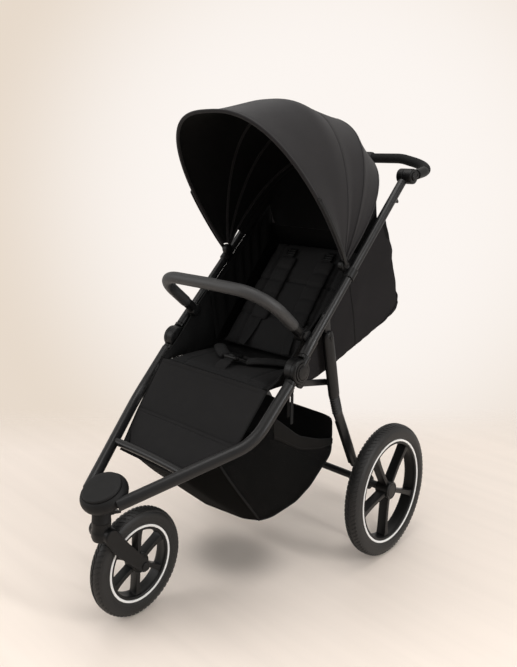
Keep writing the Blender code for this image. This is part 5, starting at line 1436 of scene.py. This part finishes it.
def make_canopy_hems():
    """The visor's front hem: a band folded inwards, its row of stitches, and the seams' rows."""
    hem = panel_grid(RIM_BOW, BOW_A, 36, visor_dip, seed=1.0)
    band = []
    for r in range(3):
        band.append([p - from_pivot(p) * (0.0021 if r < 2 else 0.0012) for p in hem[r]])
    # The hem inside the rim is made of the dark inner cloth, in part painted shade.
    cuff = piece("visor_hem", cloth_shell(band, 0.001, inner=0), LINER_PAINTED_SHADE, "canopy_front", angle=60)
    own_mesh(cuff)
    rows = []
    for (angle, height, half), body in ((BOW_A, "canopy_mid"), (BOW_B, "canopy_low"), (BOW_C, "upper_frame")):
        for offset in (-0.9, 0.9):
            rows.append((body, bow_line((angle + offset, height, half), 7, 0.0009)))
    rows.append(("canopy_front", [p + from_pivot(p) * 0.001 for p in hem[2]][5:-5]))
    for body in BODIES:
        lines = [line for where, line in rows if where == body]
        piece(f"stitch_{body}", stitches(lines, THREAD, 0.0042, 0.003, 0.0008), THREAD, body)


make_canopy()

# %% [markdown]
# ## Canopy clips and arms
# A round clip grips each upper tube, and the canopy turns in it. A thin flat arm stiffens the visor's
# edge up to a press stud.


# %% Clips, arms and press studs
def rim_x(reach):
    """The half width of the front bow at this height above the pivot."""
    up = reach / RIM_BOW[1]
    return RIM_BOW[2] * pinched(up) * (1 - up**BOW_POWER) ** (1 / BOW_POWER)


def make_clips():
    way = along(TILT)
    lean = along(RIM_BOW[0])
    for side, sign in SIDES:
        out = ACROSS * sign
        centre = at_side(PIVOT, TUBE_X, sign)
        face = 0.2105 - TUBE_X
        knuckle = [(0, face - 0.016), (0.0125, face - 0.016), (0.0143, face - 0.0148), (0.015, face - 0.013),
                   (0.015, face - 0.0018), (0.0146, face - 0.0006), (0.0135, face), (0, face)]
        seat = at_side(on_tube(0.139), TUBE_X, sign)
        band = even([(0.01165, -0.015), (0.0143, -0.015), (0.015, -0.0142)])
        parts = [lathe(knuckle, centre, out, 56), lathe(band, seat, way, 48, closed=True)]
        top = centre - out * 0.0165
        foot = top + (seat - centre) * 0.62
        parts.append(plate(top, 0.011, foot, 0.008, out, 0.012, steps=18, bevel=0.0015))
        piece(f"clip_{side}", parts, JOINT, "upper_frame", [f"canopy_clip_{side}"])
        reaches = [0.045 + (0.215 - 0.045) * k / 24 for k in range(25)]
        path = [at_side(PIVOT, 0.214, sign)]
        path += [at_side(PIVOT + lean * r, rim_x(r) + 0.0042, sign) for r in reaches]
        parts = [rod(smooth_path(path, 50), 0.0024, 0.0062, steps=24, power=0.7, bevel=0.0004)]
        root = [(0, 0.0), (0.0095, 0.0), (0.0095, 0.004), (0.0088, 0.0052), (0.0076, 0.0058), (0.006, 0.005),
                (0, 0.0048)]
        parts.append(lathe(root, centre + out * (face + 0.0004), out, 44))
        piece(f"arm_{side}", parts, JOINT, "canopy_front", [f"canopy_arm_{side}"])
        stud = [(0, 0.0), (0.0062, 0.0), (0.0062, 0.0016), (0.005, 0.0028), (0.0036, 0.003), (0.003, 0.0024),
                (0, 0.0024)]
        spot = at_side(PIVOT + lean * 0.2175, rim_x(0.2175) + 0.0035, sign)
        piece(f"stud_{side}", lathe(stud, spot, out, 36), JOINT, "canopy_front")


make_clips()
print("canopy clips, arms and studs")

# %% [markdown]
# ## Seat tub
# Behind the backrest hangs a tub of the outer cloth, sewn from a floor and back in one length and two
# sides. Its top edges are bound and run under the upper tubes. Each side has one upright seam.


# %% Tub with bound edges and side seams
TUB_OUTLINE = [
    (-0.0255, 0.5192), (0.0345, 0.5202), (0.1195, 0.5428), (0.2, 0.5685), (0.3, 0.6005), (0.385, 0.6278),
    (0.4035, 0.6335), (0.415, 0.642), (0.4175, 0.652), (0.413, 0.675), (0.401, 0.712), (0.3915, 0.745),
    (0.356, 0.81), (0.3215, 0.868),
]


def smooth_rows(grid, count):
    """More rows, along smooth curves through the given ones."""
    columns = [smooth_path([row[k] for row in grid], count) for k in range(len(grid[0]))]
    return [[column[r] for column in columns] for r in range(count)]


def smooth_columns(grid, count):
    return [smooth_path(row, count) for row in grid]


def tub_grid(rows, columns):
    hang = 0.0118
    half = ((1.0, 1.0), (0.993, 0.94), (0.99, 0.62), (0.985, 0.3), (0.975, 0.06), (0.94, 0.0), (0.5, 0.0))
    shares = [(-s, lift) for s, lift in half] + [(0, 0.0)] + list(reversed(half))
    grid = []
    for y, z in TUB_OUTLINE:
        point = at(0, y, z)
        edge = on_tube(min(max(y, -0.0105), 0.3175), 0) - along(90 + TILT) * hang
        row = []
        for share, lift in shares:
            spot = point.lerp(edge, lift)
            width = 0.186 + 0.013 * max(lift > 0, min(1.0, (spot.z - 0.5192) / 0.08))
            width = 0.2108 if lift == 1.0 else width
            row.append(at(width * share, spot.y, spot.z))
        grid.append(row)
    return smooth_columns(smooth_rows(grid, rows), columns)


def creased(grid, folds, seed):
    """Soft ripples and folds on a grid. Each fold is (row, column, length, width, depth, tilt), in shares."""
    normals = grid_normals(grid)
    made = [[] for _row in grid]
    last_row, last = len(grid) - 1, len(grid[0]) - 1
    for r, row in enumerate(grid):
        for k, point in enumerate(row):
            u, v = r / last_row, k / last
            edge = min(1.0, min(u, 1 - u, v, 1 - v) / 0.06)
            out = 0.0012 * ripple(point, 7.0, seed) + 0.0006 * ripple(point, 19.0, seed + 5)
            for at_u, at_v, length, width, depth, tilt in folds:
                c, s = cos(tilt), sin(tilt)
                du, dv = u - at_u, v - at_v
                far, across = (du * c + dv * s) / length, (dv * c - du * s) / width
                out += depth * exp(-far * far) * exp(-across * across)
            made[r].append(point + normals[r][k] * out * edge)
    return made


def make_tub():
    grid = tub_grid(90, 121)
    folds = [(row, 0.5 + side * off, length, width, depth, -side * tilt)
             for row, off, length, width, depth, tilt in (
                 (0.62, 0.4, 0.2, 0.035, -0.0035, 0.5), (0.8, 0.34, 0.12, 0.03, 0.003, 0.3),
                 (0.45, 0.38, 0.14, 0.03, 0.0025, -0.4))
             for side in (-1, 1)]
    grid = creased(grid, folds, seed=2.0)
    outward = at(0, 0.3, -1)
    layers = cloth_shell(grid, 0.0018, outward=outward)
    # The tub's inside takes the dark inner cloth, whose darkness is in part painted shade.
    tub = piece("tub_cloth", layers, [TUB_CLOTH, LINER_PAINTED_SHADE], "upper_frame", ["seat_tub"], 60)
    normals = grid_normals(grid)
    lift = 1 if normals[38][60].dot(outward) > 0 else -1
    parts, lines = [], []
    for columns in (range(0, 34), range(120, 86, -1)):
        seam, thread_line = [], []
        for k, column in enumerate(columns):
            want = 0.16 + 0.052 * k / 33
            r = min(range(4, 84), key=lambda i: abs(grid[i][column].y - want))
            part = (want - grid[r][column].y) / (grid[r + 1][column].y - grid[r][column].y)
            out = normals[r][column] * lift
            spot = grid[r][column].lerp(grid[r + 1][column], part)
            seam.append(spot + out * 0.0009)
            thread_line.append(spot + out * 0.0012 + at(0, -0.004, 0))
        parts.append(rod(smooth_path(seam, 80), 0.0016, 0.001, steps=10, wide=BACKWARD))
        lines.append(thread_line)
    seams = piece("tub_seams", parts, PIPING, "upper_frame", angle=60)
    edges = []
    for k in (0, len(grid[0]) - 1):
        path = [row[k] + at(-0.002 if k else 0.002, 0, 0) for row in grid]
        edges.append(rod(resampled(path, 120), 0.0021, 0.003, steps=16))
    corner = [[row[k] + normals[r][k] * lift * 0.001 for r, row in enumerate(grid)] for k in (34, 86)]
    edges += [rod(path, 0.0022, 0.0014, steps=12) for path in corner]
    bound = piece("tub_binding", edges, PIPING, "upper_frame", angle=60)
    thread = piece("stitch_tub", stitches(lines, THREAD, 0.0045, 0.003, 0.0008), THREAD, "upper_frame")


make_tub()

# %% [markdown]
# ## Seat and backrest
# Both pads are filled, so cloth simulation does the shaping: each starts as a thin crowned slab, is
# voxel-remeshed and blown up by a small pressure, and may only move a few millimetres. The sewn
# channels are pressed in afterwards with a groove function, because remeshing would lose them.


# %% Padded pieces
def slab(first, last, halves, thick):
    """A crowned slab between two points, its top on their line: rings of a flattened oval."""
    normal = (last - first).normalized().cross(ACROSS)
    normal = normal if normal.z > 0 else -normal
    rings = []
    for r in range(47):
        share = r / 46
        middle = first.lerp(last, share)
        half = halves[0] + (halves[1] - halves[0]) * share
        end = sin(pi * (share * 0.92 + 0.04)) ** 0.35
        ring = []
        for k in range(80):
            t = 2 * pi * (k + 0.5) / 80
            u, v = powered(cos(t), 0.35), powered(sin(t), 0.7)
            up = v * thick / 2 * (1 - 0.25 * u * u) * end
            ring.append(middle + ACROSS * half * u + normal * (up - thick / 2))
        rings.append(ring)
    return shell(rings)


VOXEL, PRESSURE, FRAMES = 0.006, 4.0, 20


def puffed(bm, name, cap):
    """The shell blown up as cloth. No point moves further than the cap."""
    mesh = bpy.data.meshes.new(name)
    bm.to_mesh(mesh)
    bm.free()
    obj = bpy.data.objects.new(name, mesh)
    scene.collection.objects.link(obj)
    remesh = obj.modifiers.new("remesh", "REMESH")
    remesh.mode = "VOXEL"
    remesh.voxel_size = VOXEL
    graph = bpy.context.evaluated_depsgraph_get()
    start = bpy.data.meshes.new_from_object(obj.evaluated_get(graph), depsgraph=graph)
    obj.modifiers.clear()
    obj.data = start
    cloth = obj.modifiers.new("cloth", "CLOTH")
    soft = cloth.settings
    soft.use_pressure = True
    soft.uniform_pressure_force = PRESSURE
    soft.quality = 6
    soft.mass = 0.25
    soft.tension_stiffness = 25
    soft.compression_stiffness = 8
    soft.effector_weights.gravity = 0.0
    cloth.point_cache.frame_start = 1
    cloth.point_cache.frame_end = FRAMES
    for frame_now in range(1, FRAMES + 1):
        scene.frame_set(frame_now)
    graph = bpy.context.evaluated_depsgraph_get()
    blown = obj.evaluated_get(graph).to_mesh()
    moved = np.empty(len(blown.vertices) * 3, np.float32)
    blown.vertices.foreach_get("co", moved)
    rest = np.empty_like(moved)
    start.vertices.foreach_get("co", rest)
    way = (moved - rest).reshape(-1, 3)
    length = np.linalg.norm(way, axis=1, keepdims=True)
    way *= np.minimum(1.0, cap / np.maximum(length, 1e-9))
    obj.modifiers.clear()
    start.vertices.foreach_set("co", (rest.reshape(-1, 3) + way).ravel())
    scene.frame_set(1)
    made = bmesh.new()
    made.from_mesh(obj.data)
    bpy.data.objects.remove(obj)
    for _ in range(3):
        bmesh.ops.smooth_vert(
            made, verts=made.verts, factor=0.5, use_axis_x=True, use_axis_y=True, use_axis_z=True)
    bmesh.ops.subdivide_edges(made, edges=made.edges, cuts=1, use_grid_fill=True, smooth=0.4)
    return made


def pressed(bm, grooves):
    """Presses sewn channels in. Each is (a point, a direction across it, the inward way, width, depth)."""
    for vert in bm.verts:
        push = at(0, 0, 0)
        for spot, across, inward, width, depth in grooves:
            off = (vert.co - spot).dot(across) / width
            if abs(off) < 3 and vert.normal.dot(inward) < -0.2:
                push += inward * depth * exp(-off * off)
        vert.co += push
    return bm


def make_pads():
    seat = slab(at(0, -0.1443, 0.5362), at(0, 0.0315, 0.5362), (0.1765, 0.1725), 0.0145)
    grooves = [(at(x, 0, 0), ACROSS, -UP, 0.0045, 0.003) for x in (0.112, -0.112)]
    grooves.append((at(0, -0.128, 0), BACKWARD, -UP, 0.0035, 0.0022))
    seat = pressed(puffed(seat, "seat_start", 0.004), grooves)
    obj = piece("seat_pad", seat, SEAT_CLOTH, "lower_frame", ["seat_cushion"], angle=80)
    way, face = REST_WAY, REST_OUT
    low = HINGE + way * 0.012 - face * 0.0025
    back = slab(low + way * 0.002, low + way * 0.37, (0.1685, 0.1545), 0.0245)
    grooves = [(low + way * 0.372 * share, way, -face, 0.0055, 0.005) for share in (0.3, 0.62)]
    grooves += [(at(x, 0, 0), ACROSS, -face, 0.005, 0.006) for x in (-0.108, 0.108)]
    back = pressed(puffed(back, "back_start", 0.006), grooves)
    obj = piece("back_pad", back, SEAT_CLOTH, "back", ["backrest"], angle=80)
    lines = []
    for x in (-0.103, 0.103):
        lines.append([low + way * (0.02 + 0.33 * k / 20) + ACROSS * x + face * 0.0004 for k in range(21)])
    piece("stitch_back", stitches(lines, THREAD, 0.005, 0.0034, 0.0009), THREAD, "back")
    print("seat and back pads, simulated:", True)


def lofted(low, top, rows, shift):
    """Rows of points from one line to another, each moved along X by shift(share, number, its low point)."""
    grid = []
    for r in range(rows + 1):
        share = r / rows
        grid.append([a.lerp(b, share) + ACROSS * shift(share, k, a) for k, (a, b) in enumerate(zip(low, top))])
    return grid


WING_LOW = ((0.1775, -0.146, 0.527), (0.18, -0.08, 0.5265), (0.183, -0.02, 0.526), (0.186, 0.06, 0.53))
WING_TOP = ((0.185, -0.149, 0.533), (0.189, -0.11, 0.552), (0.1905, -0.07, 0.588), (0.193, -0.035, 0.623),
            (0.1965, 0, 0.656), (0.2, 0.04, 0.69))


def make_wings():
    """The soft sides that close the gap between the seat and the hubs, with a bound top edge."""
    for side, sign in SIDES:
        low, top = (smooth_path(mirror_to(sign, line), 50) for line in (WING_LOW, WING_TOP))

        def inward(share, k, _low):
            bow = sin(pi * share)
            return -sign * (0.01 * bow + 0.003 * bow * sin(k / 49 * pi * 5 + 1.2))

        layers = cloth_shell(lofted(low, top, 18, inward), 0.0035, outward=ACROSS * -sign, inner=0)
        # The wing is made of the dark inner cloth, in part painted shade.
        wing = piece(f"seat_wing_{side}", layers, LINER_PAINTED_SHADE, "lower_frame", angle=70)
        edge = piece(f"wing_piping_{side}", rod(top, 0.0028, steps=14), PIPING, "lower_frame", angle=60)
        for soft in (wing, edge):
            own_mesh(soft)
    print("seat wings")


def make_side_liners():
    """The pleated inner cloth between the backrest and each upper tube, inside the tub. Its dark colour is in
    part painted shade.
    """
    for side, sign in SIDES:
        low = [HINGE + REST_WAY * d + ACROSS * 0.1745 * sign + REST_OUT * 0.004
               for d in (0.012 + 0.355 * k / 89 for k in range(90))]
        ways = (on_tube(0.04 + 0.262 * k / 89) for k in range(90))
        top = [at_side(spot - along(TILT + 90) * 0.014, 0.195, sign) for spot in ways]

        def pleated(share, k, a):
            arch = sin(pi * share)
            along_it = k / 89
            pleat = sin(along_it * pi * 13 + 1.4 * share + 2.5 * ripple(a, 6.0, 5.0))
            ends = min(1.0, along_it / 0.06, (1 - along_it) / 0.06)
            return sign * (0.002 * arch - 0.0036 * pleat * arch**0.6 * ends)

        grid = lofted(low, top, 24, pleated)
        layers = cloth_shell(grid, 0.0016, outward=ACROSS * -sign, inner=0)
        # The dark inner cloth here is in part painted shade.
        liner = piece(f"side_liner_{side}", layers, LINER_PAINTED_SHADE, "upper_frame", angle=70)
    print("pleated side linings")


make_pads()
make_wings()
make_side_liners()

# %% [markdown]
# ## Calf panel
# A padded panel hangs from the seat's front edge to the crossbar. One seam crosses it at the top
# edge, a double seam crosses it halfway, and piping runs down both sides.


# %% Calf panel
PANEL_EDGE = [at(0.185, -0.149, 0.533), at(0.175, -0.2455, 0.4175), at(0.113, -0.356, 0.356)]
PANEL_KNEE = 0.515  # the share of the panel above its bend


def panel_line(share):
    """The middle of the panel's face and its half width, from the seat's front to the crossbar."""
    edge = between(PANEL_EDGE, (0, PANEL_KNEE, 1), share)
    return at_side(edge, 0, 1), edge.x


def panel_point(share, u, out=0.0):
    """A point on the panel's face: u runs from -1 to 1 across it."""
    ahead, behind = panel_line(min(1.0, share + 0.03))[0], panel_line(max(0, share - 0.03))[0]
    normal = (ahead - behind).normalized().cross(ACROSS)
    normal = normal if normal.z > 0 else -normal
    middle, half = panel_line(share)
    crown = 0.0026 * (1 - u * u) * sin(pi * min(1.0, max(0, share)))
    return middle + ACROSS * half * u + normal * (crown + out - 0.0012), normal


def make_calf_panel():
    rows, columns, thick = 110, 90, 0.0052
    seams = ((0.045, 0.0022, 0.0016), (0.505, 0.0017, 0.002), (0.535, 0.0017, 0.002))
    top, under = [], []
    for r in range(rows + 1):
        share = r / rows
        line, back = [], []
        for k in range(columns + 1):
            u = 2 * k / columns - 1
            spot, normal = panel_point(share, u)
            edge = min(1.0, (1 - abs(u)) / 0.03, share / 0.012 + 0.1, (1 - share) / 0.012 + 0.1)
            round_off = sqrt(max(0, 1 - (1 - edge) ** 2))
            dent = sum(depth * exp(-(((share - s) * 0.3 / width) ** 2)) for s, width, depth in seams)
            soft = 0.0006 * ripple(spot, 16.0, 7.0) * edge
            line.append(spot + normal * (-dent * edge + soft - thick / 2 * (1 - round_off)))
            back.append(spot - normal * (thick / 2 + thick / 2 * round_off))
        top.append(line)
        under.append(back)
    bm = sheet_shell(top, under, 0)
    panel = piece("calf_pad", bm, PANEL_CLOTH, "lower_frame", ["calf_panel"], angle=70)
    cords = []
    for sign in (-1, 1):
        path = [panel_point(k / 80, sign, -0.0018)[0] + ACROSS * sign * 0.0004 for k in range(81)]
        cords.append(rod(smooth_path(path, 120), 0.0019, steps=14))
    piece("calf_piping", cords, PIPING, "lower_frame", angle=60)
    lines = [[panel_point(s, k / 24 - 1, -0.0004)[0] for k in range(1, 48)] for s in (0.03, 0.493, 0.547)]
    piece("stitch_calf", stitches(lines, THREAD, 0.0045, 0.0031, 0.0008), THREAD, "lower_frame")
    nose = [panel_point(0, k / 20 - 1, -0.002)[0] + at(0, 0.0005, 0.0005) for k in range(41)]
    roll = piece("seat_front_roll", rod(nose, 0.0052, 0.004, steps=20), SEAT_CLOTH, "lower_frame", angle=60)
    print("calf panel with its seams")


make_calf_panel()

# %% [markdown]
# ## Harness
# Five-point harness: two ribbed shoulder pads on webbing, two waist pads, a strap between the legs and
# a buckle. Webbing is a flat strip, and it bends only across its flat side.


# %% Pads, webbing and buckle
def strip(path, wide, width=0.025, thickness=0.0016):
    """Flat webbing along a path: its half width lies along the wide direction."""
    return rod(smooth_path(path, 60), width / 2, thickness / 2, steps=16, wide=wide, power=0.45)


def drawn_in(share, length):
    """From 0 at either end of a soft pad to 1, rounded over the given share of its length."""
    return sqrt(max(0, 1 - (1 - min(1.0, min(share, 1 - share) / length)) ** 2))


def on_rest(distance, x, out):
    """A point over the backrest's face, measured from the hinge."""
    return HINGE + REST_WAY * distance + ACROSS * x + REST_OUT * out


def ribbed_pad(sign):
    rings = []
    count = 110
    for r in range(count + 1):
        share = r / count
        rib = 0.5 + 0.5 * cos(2 * pi * 5 * share)
        gather = 1.0 - 0.42 * rib**3
        end = drawn_in(share, 0.03)
        middle = on_rest(0.105 + 0.215 * share, 0.066 * sign, 0.0048 + 0.003 * sin(pi * share))
        ring = []
        for k in range(48):
            t = 2 * pi * (k + 0.5) / 48
            u = powered(cos(t), 0.55) * 0.028 * (0.86 + 0.14 * gather) * (0.55 + 0.45 * end)
            v = powered(sin(t), 0.8) * 0.0082 * gather * (0.15 + 0.85 * end)
            ring.append(middle + ACROSS * u + REST_OUT * v)
        rings.append(ring)
    return shell(rings)


def waist_pad(sign):
    """A plump pad that lies over the seat, arched a little, its ends drawn in."""
    stops = [(0.13, 0.02, 0.5446), (0.104, -0.004, 0.5516), (0.068, -0.036, 0.5546), (0.036, -0.055, 0.5506)]
    path = smooth_path(mirror_to(sign, stops), 60)
    rings = []
    for i, (point, axis) in enumerate(zip(path, tangents(path))):
        share = i / 59
        full = drawn_in(share, 0.12) * 0.9 + 0.1
        rib = 1 - 0.16 * (0.5 + 0.5 * cos(2 * pi * 3 * share)) ** 4
        side = UP.cross(axis).normalized()
        flap = side * 0.0175 * (0.45 + 0.55 * full)
        ring = []
        for k in range(36):
            t = 2 * pi * k / 36
            c = powered(cos(t), 0.7)
            ring.append(point + flap * c + UP * (0.007 * full * rib * sin(t) - 0.003 * c * c))
        rings.append(ring)
    return shell(rings)


WEB_LINES = {  # distance up the rest, x and height over its face
    "shoulder": ((0.3, 0.066, 0.006), (0.325, 0.066, 0.0085), (0.345, 0.066, 0.0045), (0.357, 0.066, -0.004)),
    "lower": ((0.112, 0.066, 0.0058), (0.08, 0.067, 0.007), (0.045, 0.072, 0.0075), (0.018, 0.078, 0.0085)),
}


def make_rest_web(name, side, sign):
    web = strip([on_rest(d, x * sign, out) for d, x, out in WEB_LINES[name]], ACROSS)
    piece(f"{name}_web_{side}", web, WEBBING, "back", angle=50)


def make_harness():
    for side, sign in SIDES:
        pads = [f"shoulder_pad_{side}"]
        pad = piece(f"shoulder_cover_{side}", ribbed_pad(sign), SEAT_CLOTH, "back", pads, 60)
        make_rest_web("shoulder", side, sign)
        slide = on_rest(0.333, 0.066 * sign, 0.0085)
        turn = Matrix.Rotation(radians(REST_TILT), 3, "X")
        bars = [((0.031, 0.0035, 0.004), REST_WAY * d) for d in (-0.0075, 0.0, 0.0075)]
        bars += [((0.0035, 0.0185, 0.004), ACROSS * x) for x in (-0.0142, 0.0142)]
        bars = [block(size, slide + off, 0.001, turn) for size, off in bars]
        piece(f"slide_{side}", bars, JOINT, "back")
        make_rest_web("lower", side, sign)
        pad = piece(f"waist_cover_{side}", waist_pad(sign), SEAT_CLOTH, "lower_frame",
                    ["waist_belt"] if sign > 0 else [], 60)
        belt = mirror_to(sign, [(0.142, 0.03, 0.5385), (0.128, 0.018, 0.545), (0.112, 0.004, 0.55)])
        web = strip(belt, UP.cross(at(-sign, -0.8, 0)))
        piece(f"waist_web_{side}", web, WEBBING, "lower_frame", angle=50)
        tongue = mirror_to(sign, [(0.044, -0.052, 0.551), (0.032, -0.0585, 0.5545), (0.018, -0.0632, 0.556)])
        flat = UP.cross(at(-sign, -0.5, 0))
        tongue = rod(smooth_path(tongue, 20), 0.0085, 0.0022, steps=20, wide=flat, power=0.5)
        piece(f"tongue_{side}", tongue, JOINT, "lower_frame", angle=50)
    centre = at(0, -0.0635, 0.5565)
    parts = [block((0.044, 0.034, 0.012), centre, 0.0045, segments=5)]
    parts.append(block((0.018, 0.013, 0.003), centre + at(0, -0.003, 0.0062), 0.0013))
    for sign in (-1, 1):
        parts.append(block((0.0035, 0.022, 0.009), centre + ACROSS * sign * 0.0222, 0.0014))
    piece("buckle", parts, JOINT, "lower_frame", ["harness_buckle"])
    crotch = [at(0, y, z) for y, z in ((-0.118, 0.535), (-0.108, 0.544), (-0.092, 0.551), (-0.078, 0.5545))]
    piece("crotch_web", strip(crotch, ACROSS, 0.03, 0.0018), WEBBING, "lower_frame", angle=50)
    cover = rod(smooth_path(crotch[:3], 30), 0.0185, 0.0036, steps=28, wide=ACROSS, power=0.6, swell=foam_swell)
    piece("crotch_cover", cover, SEAT_CLOTH, "lower_frame", angle=60)
    print("harness pieces")


make_harness()

# %% [markdown]
# ## Basket and hub strap
# The basket hangs from the lower tubes. Its front and rear are dark cloth, its floor is stiff, and each
# side is an open net under a wide gathered band. The net is a woven sheet with real holes: the
# material lets light through where neither thread runs.


# %% Basket
MESH = 0.0036  # two threads of the net


def net_material():
    """Net: dark threads with clear holes between them, smaller holes near a thread crossing."""
    material = cloth_finish("basket_net", (0.005, 0.005, 0.005), 0.8, contrast=0.3, bump=0.3, gloss=0.1)
    tree = material.node_tree
    place = add(tree, "ShaderNodeTexCoord").outputs["Object"]
    parts = add(tree, "ShaderNodeSeparateXYZ", Vector=place).outputs
    lean = maths(tree, "ADD", parts["Y"], maths(tree, "MULTIPLY", parts["Z"], 0.5))
    rise = maths(tree, "SUBTRACT", parts["Z"], maths(tree, "MULTIPLY", parts["Y"], 0.5))
    waves = [maths(tree, "SINE", maths(tree, "MULTIPLY", axis, 2 * pi / MESH)) for axis in (lean, rise)]
    hole = maths(tree, "ADD", *(maths(tree, "MULTIPLY", wave, wave) for wave in waves))
    see_through(tree, span(tree, hole, 0.8, 0.92))
    return material


NET = net_material()


def eased(points):
    """Rounds a polyline's corners a little and keeps its ends."""
    for _ in range(3):
        inner = [(a + b * 2 + c) / 4 for a, b, c in zip(points, points[1:], points[2:])]
        points = [points[0], *inner, points[-1]]
    return points


def basket_lines(count):
    """The rim and the floor's edge on the left, from the front middle to the rear middle."""
    bar = crossbar_path()[12]
    knee = lower_tube_at(BEND.y + 0.03)
    under = lower_tube_at(BEND.y + 0.058) - along(90 + TILT) * 0.0158
    rim = [bar + at(0, 0.003, -0.0098), at(0.086, -0.3565, bar.z - 0.013),
           lower_tube_at(-0.283) + at(-0.022, 0, -0.018),
           at(knee.x - TUBE_R - 0.012, BEND.y + 0.03, knee.z - 0.04), at(0.206, under.y, under.z),
           at(0.196, -0.0365, 0.389), at(0.196, 0.0495, 0.356), at(0.196, 0.1055, 0.342),
           at(0.19, 0.1115, 0.398), at(0, 0.1135, 0.4)]
    low = mirror_to(1, [
        (0, -0.1655, 0.186), (0.12, -0.1555, 0.19), (0.16, -0.1385, 0.194), (0.168, -0.12, 0.195),
        (0.172, -0.1005, 0.196), (0.186, -0.0305, 0.214), (0.192, 0.0195, 0.24), (0.194, 0.0695, 0.278),
        (0.186, 0.0815, 0.288), (0, 0.0835, 0.286)])
    marks = [k / (len(rim) - 1) for k in range(len(rim))]
    return [eased([between(stops, marks, k / count) for k in range(count + 1)]) for stops in (rim, low)]


def make_basket():
    count, levels = 99, 36
    rim, low = basket_lines(count)
    side_from, band_from, side_to, band = count * 2 // 9, count * 4 // 9, count * 7 // 9, 7
    loops = []
    for level in range(levels + 1):
        depth = level / levels
        half = []
        for k in range(count + 1):
            point = rim[k].lerp(low[k], depth)
            out = at(point.x, point.y + 0.03, 0)
            out = out.normalized() if out.length > 0 else out
            bulge = 0.008 * sin(pi * min(1.0, depth * 1.05))
            bulge += 0.0016 * ripple(point, 11.0, 3.0) * sin(pi * depth)
            if band_from <= k <= side_to and level <= band:
                gather = sin(pi * level / band)
                tuck = sin(point.y * 260 + point.z * 90) * ripple(point, 30.0, 8.0)
                bulge += gather * (0.0016 + 0.0011 * tuck)
            half.append(point + out * bulge)
        loops.append(half + mirrored(half[1:-1])[::-1])
    around = len(loops[0])
    normals = []
    for r, loop in enumerate(loops):
        a, b, ahead = loops[max(r - 1, 0)], loops[min(r + 1, levels)], loop[1:] + loop[:1]
        normals.append([(ahead[i] - loop[i - 1]).cross(b[i] - a[i]).normalized() for i in range(around)])
    sign = 1 if normals[levels // 2][0].dot(at(0, -1, 0)) > 0 else -1

    def moved(r, i, distance):
        return loops[r][i] + normals[r][i] * sign * distance

    def wall(rows, picks, thickness, inner=1):
        """Part of the wall as a closed shell."""
        layers = ([[moved(r, i, side * thickness / 2) for i in picks] for r in rows] for side in (1, -1))
        return sheet_shell(*layers, inner)

    rows = list(range(levels + 1))
    fore = [list(range(side_from, band_from + 1)), [around - i for i in range(band_from, side_from - 1, -1)]]
    aft = [list(range(band_from, side_to + 1)), [around - i for i in range(side_to, band_from - 1, -1)]]
    front = [i % around for i in range(-side_from, side_from + 1)]
    rear = list(range(side_to, around - side_to + 1))
    floor = bmesh.new()
    edge = loops[-1]
    layers = []
    for lift in (0, -0.002):
        made = [floor.verts.new(p + UP * lift) for p in edge]
        for k in range(1, count):
            a, b, c, d = made[k], made[k + 1], made[(around - k - 1) % around], made[(around - k) % around]
            if len({a, b, c, d}) == 4:
                floor.faces.new((a, b, c, d))
        floor.faces.new((made[0], made[1], made[-1]))
        layers.append(made)
    above, below = layers
    for i in range(around):
        j = (i + 1) % around
        floor.faces.new((below[i], below[j], above[j], above[i]))
    bmesh.ops.recalc_face_normals(floor, faces=floor.faces)
    walls = [wall(rows, picks, 0.0018) for picks in (front, rear)]
    cloth = piece("basket_cloth", [*walls, floor], [BASKET_CLOTH, LINER_PAINTED_SHADE], "lower_frame", ["basket"], 60)
    nets = [wall(rows[band:], picks, 0.0008, 0) for picks in aft]
    nets += [wall(rows, picks, 0.0008, 0) for picks in fore]
    net = piece("basket_net", nets, NET, "lower_frame", angle=60)
    bands = [wall(rows[: band + 1], picks, 0.0036) for picks in aft]
    band_piece = piece("basket_band", bands, [BAND_CLOTH, LINER_PAINTED_SHADE], "lower_frame", angle=60)
    corners = (side_from, around - side_from, side_to, around - side_to)
    tape = [rod([moved(r, i, 0.0011) for r in rows], 0.003, 0.001, steps=12, wide=UP) for i in corners]
    tape.append(rod(loops[0] + [loops[0][0]], 0.0022, 0.0022, steps=10))
    tape.append(rod(edge + [edge[0]], 0.002, 0.002, steps=10))
    bind = piece("basket_binding", tape, PIPING, "lower_frame", angle=60)
    lines = [[moved(band - 1, i, 0.0022) for i in picks] for picks in aft]
    thread = piece("stitch_basket", stitches(lines, THREAD, 0.0048, 0.0032, 0.0009), THREAD, "lower_frame")


def make_hub_strap():
    eye = STRAP_EYE
    low, high, top = eye.x - 0.0055, eye.x + 0.0055, eye.z - 0.004
    stops = ((low, eye.z - 0.066), (low, top), (high, top), (high, eye.z - 0.08))
    corners = [at(x, eye.y, z) for x, z in stops]
    path = filleted(corners, [0.0045, 0.0045], steps=10)
    web = rod(path, 0.0053, 0.0008, steps=16, wide=BACKWARD, power=0.45)
    piece("hub_strap", web, WEBBING, "lower_frame", ["hub_webbing"], 50)


make_basket()
make_hub_strap()
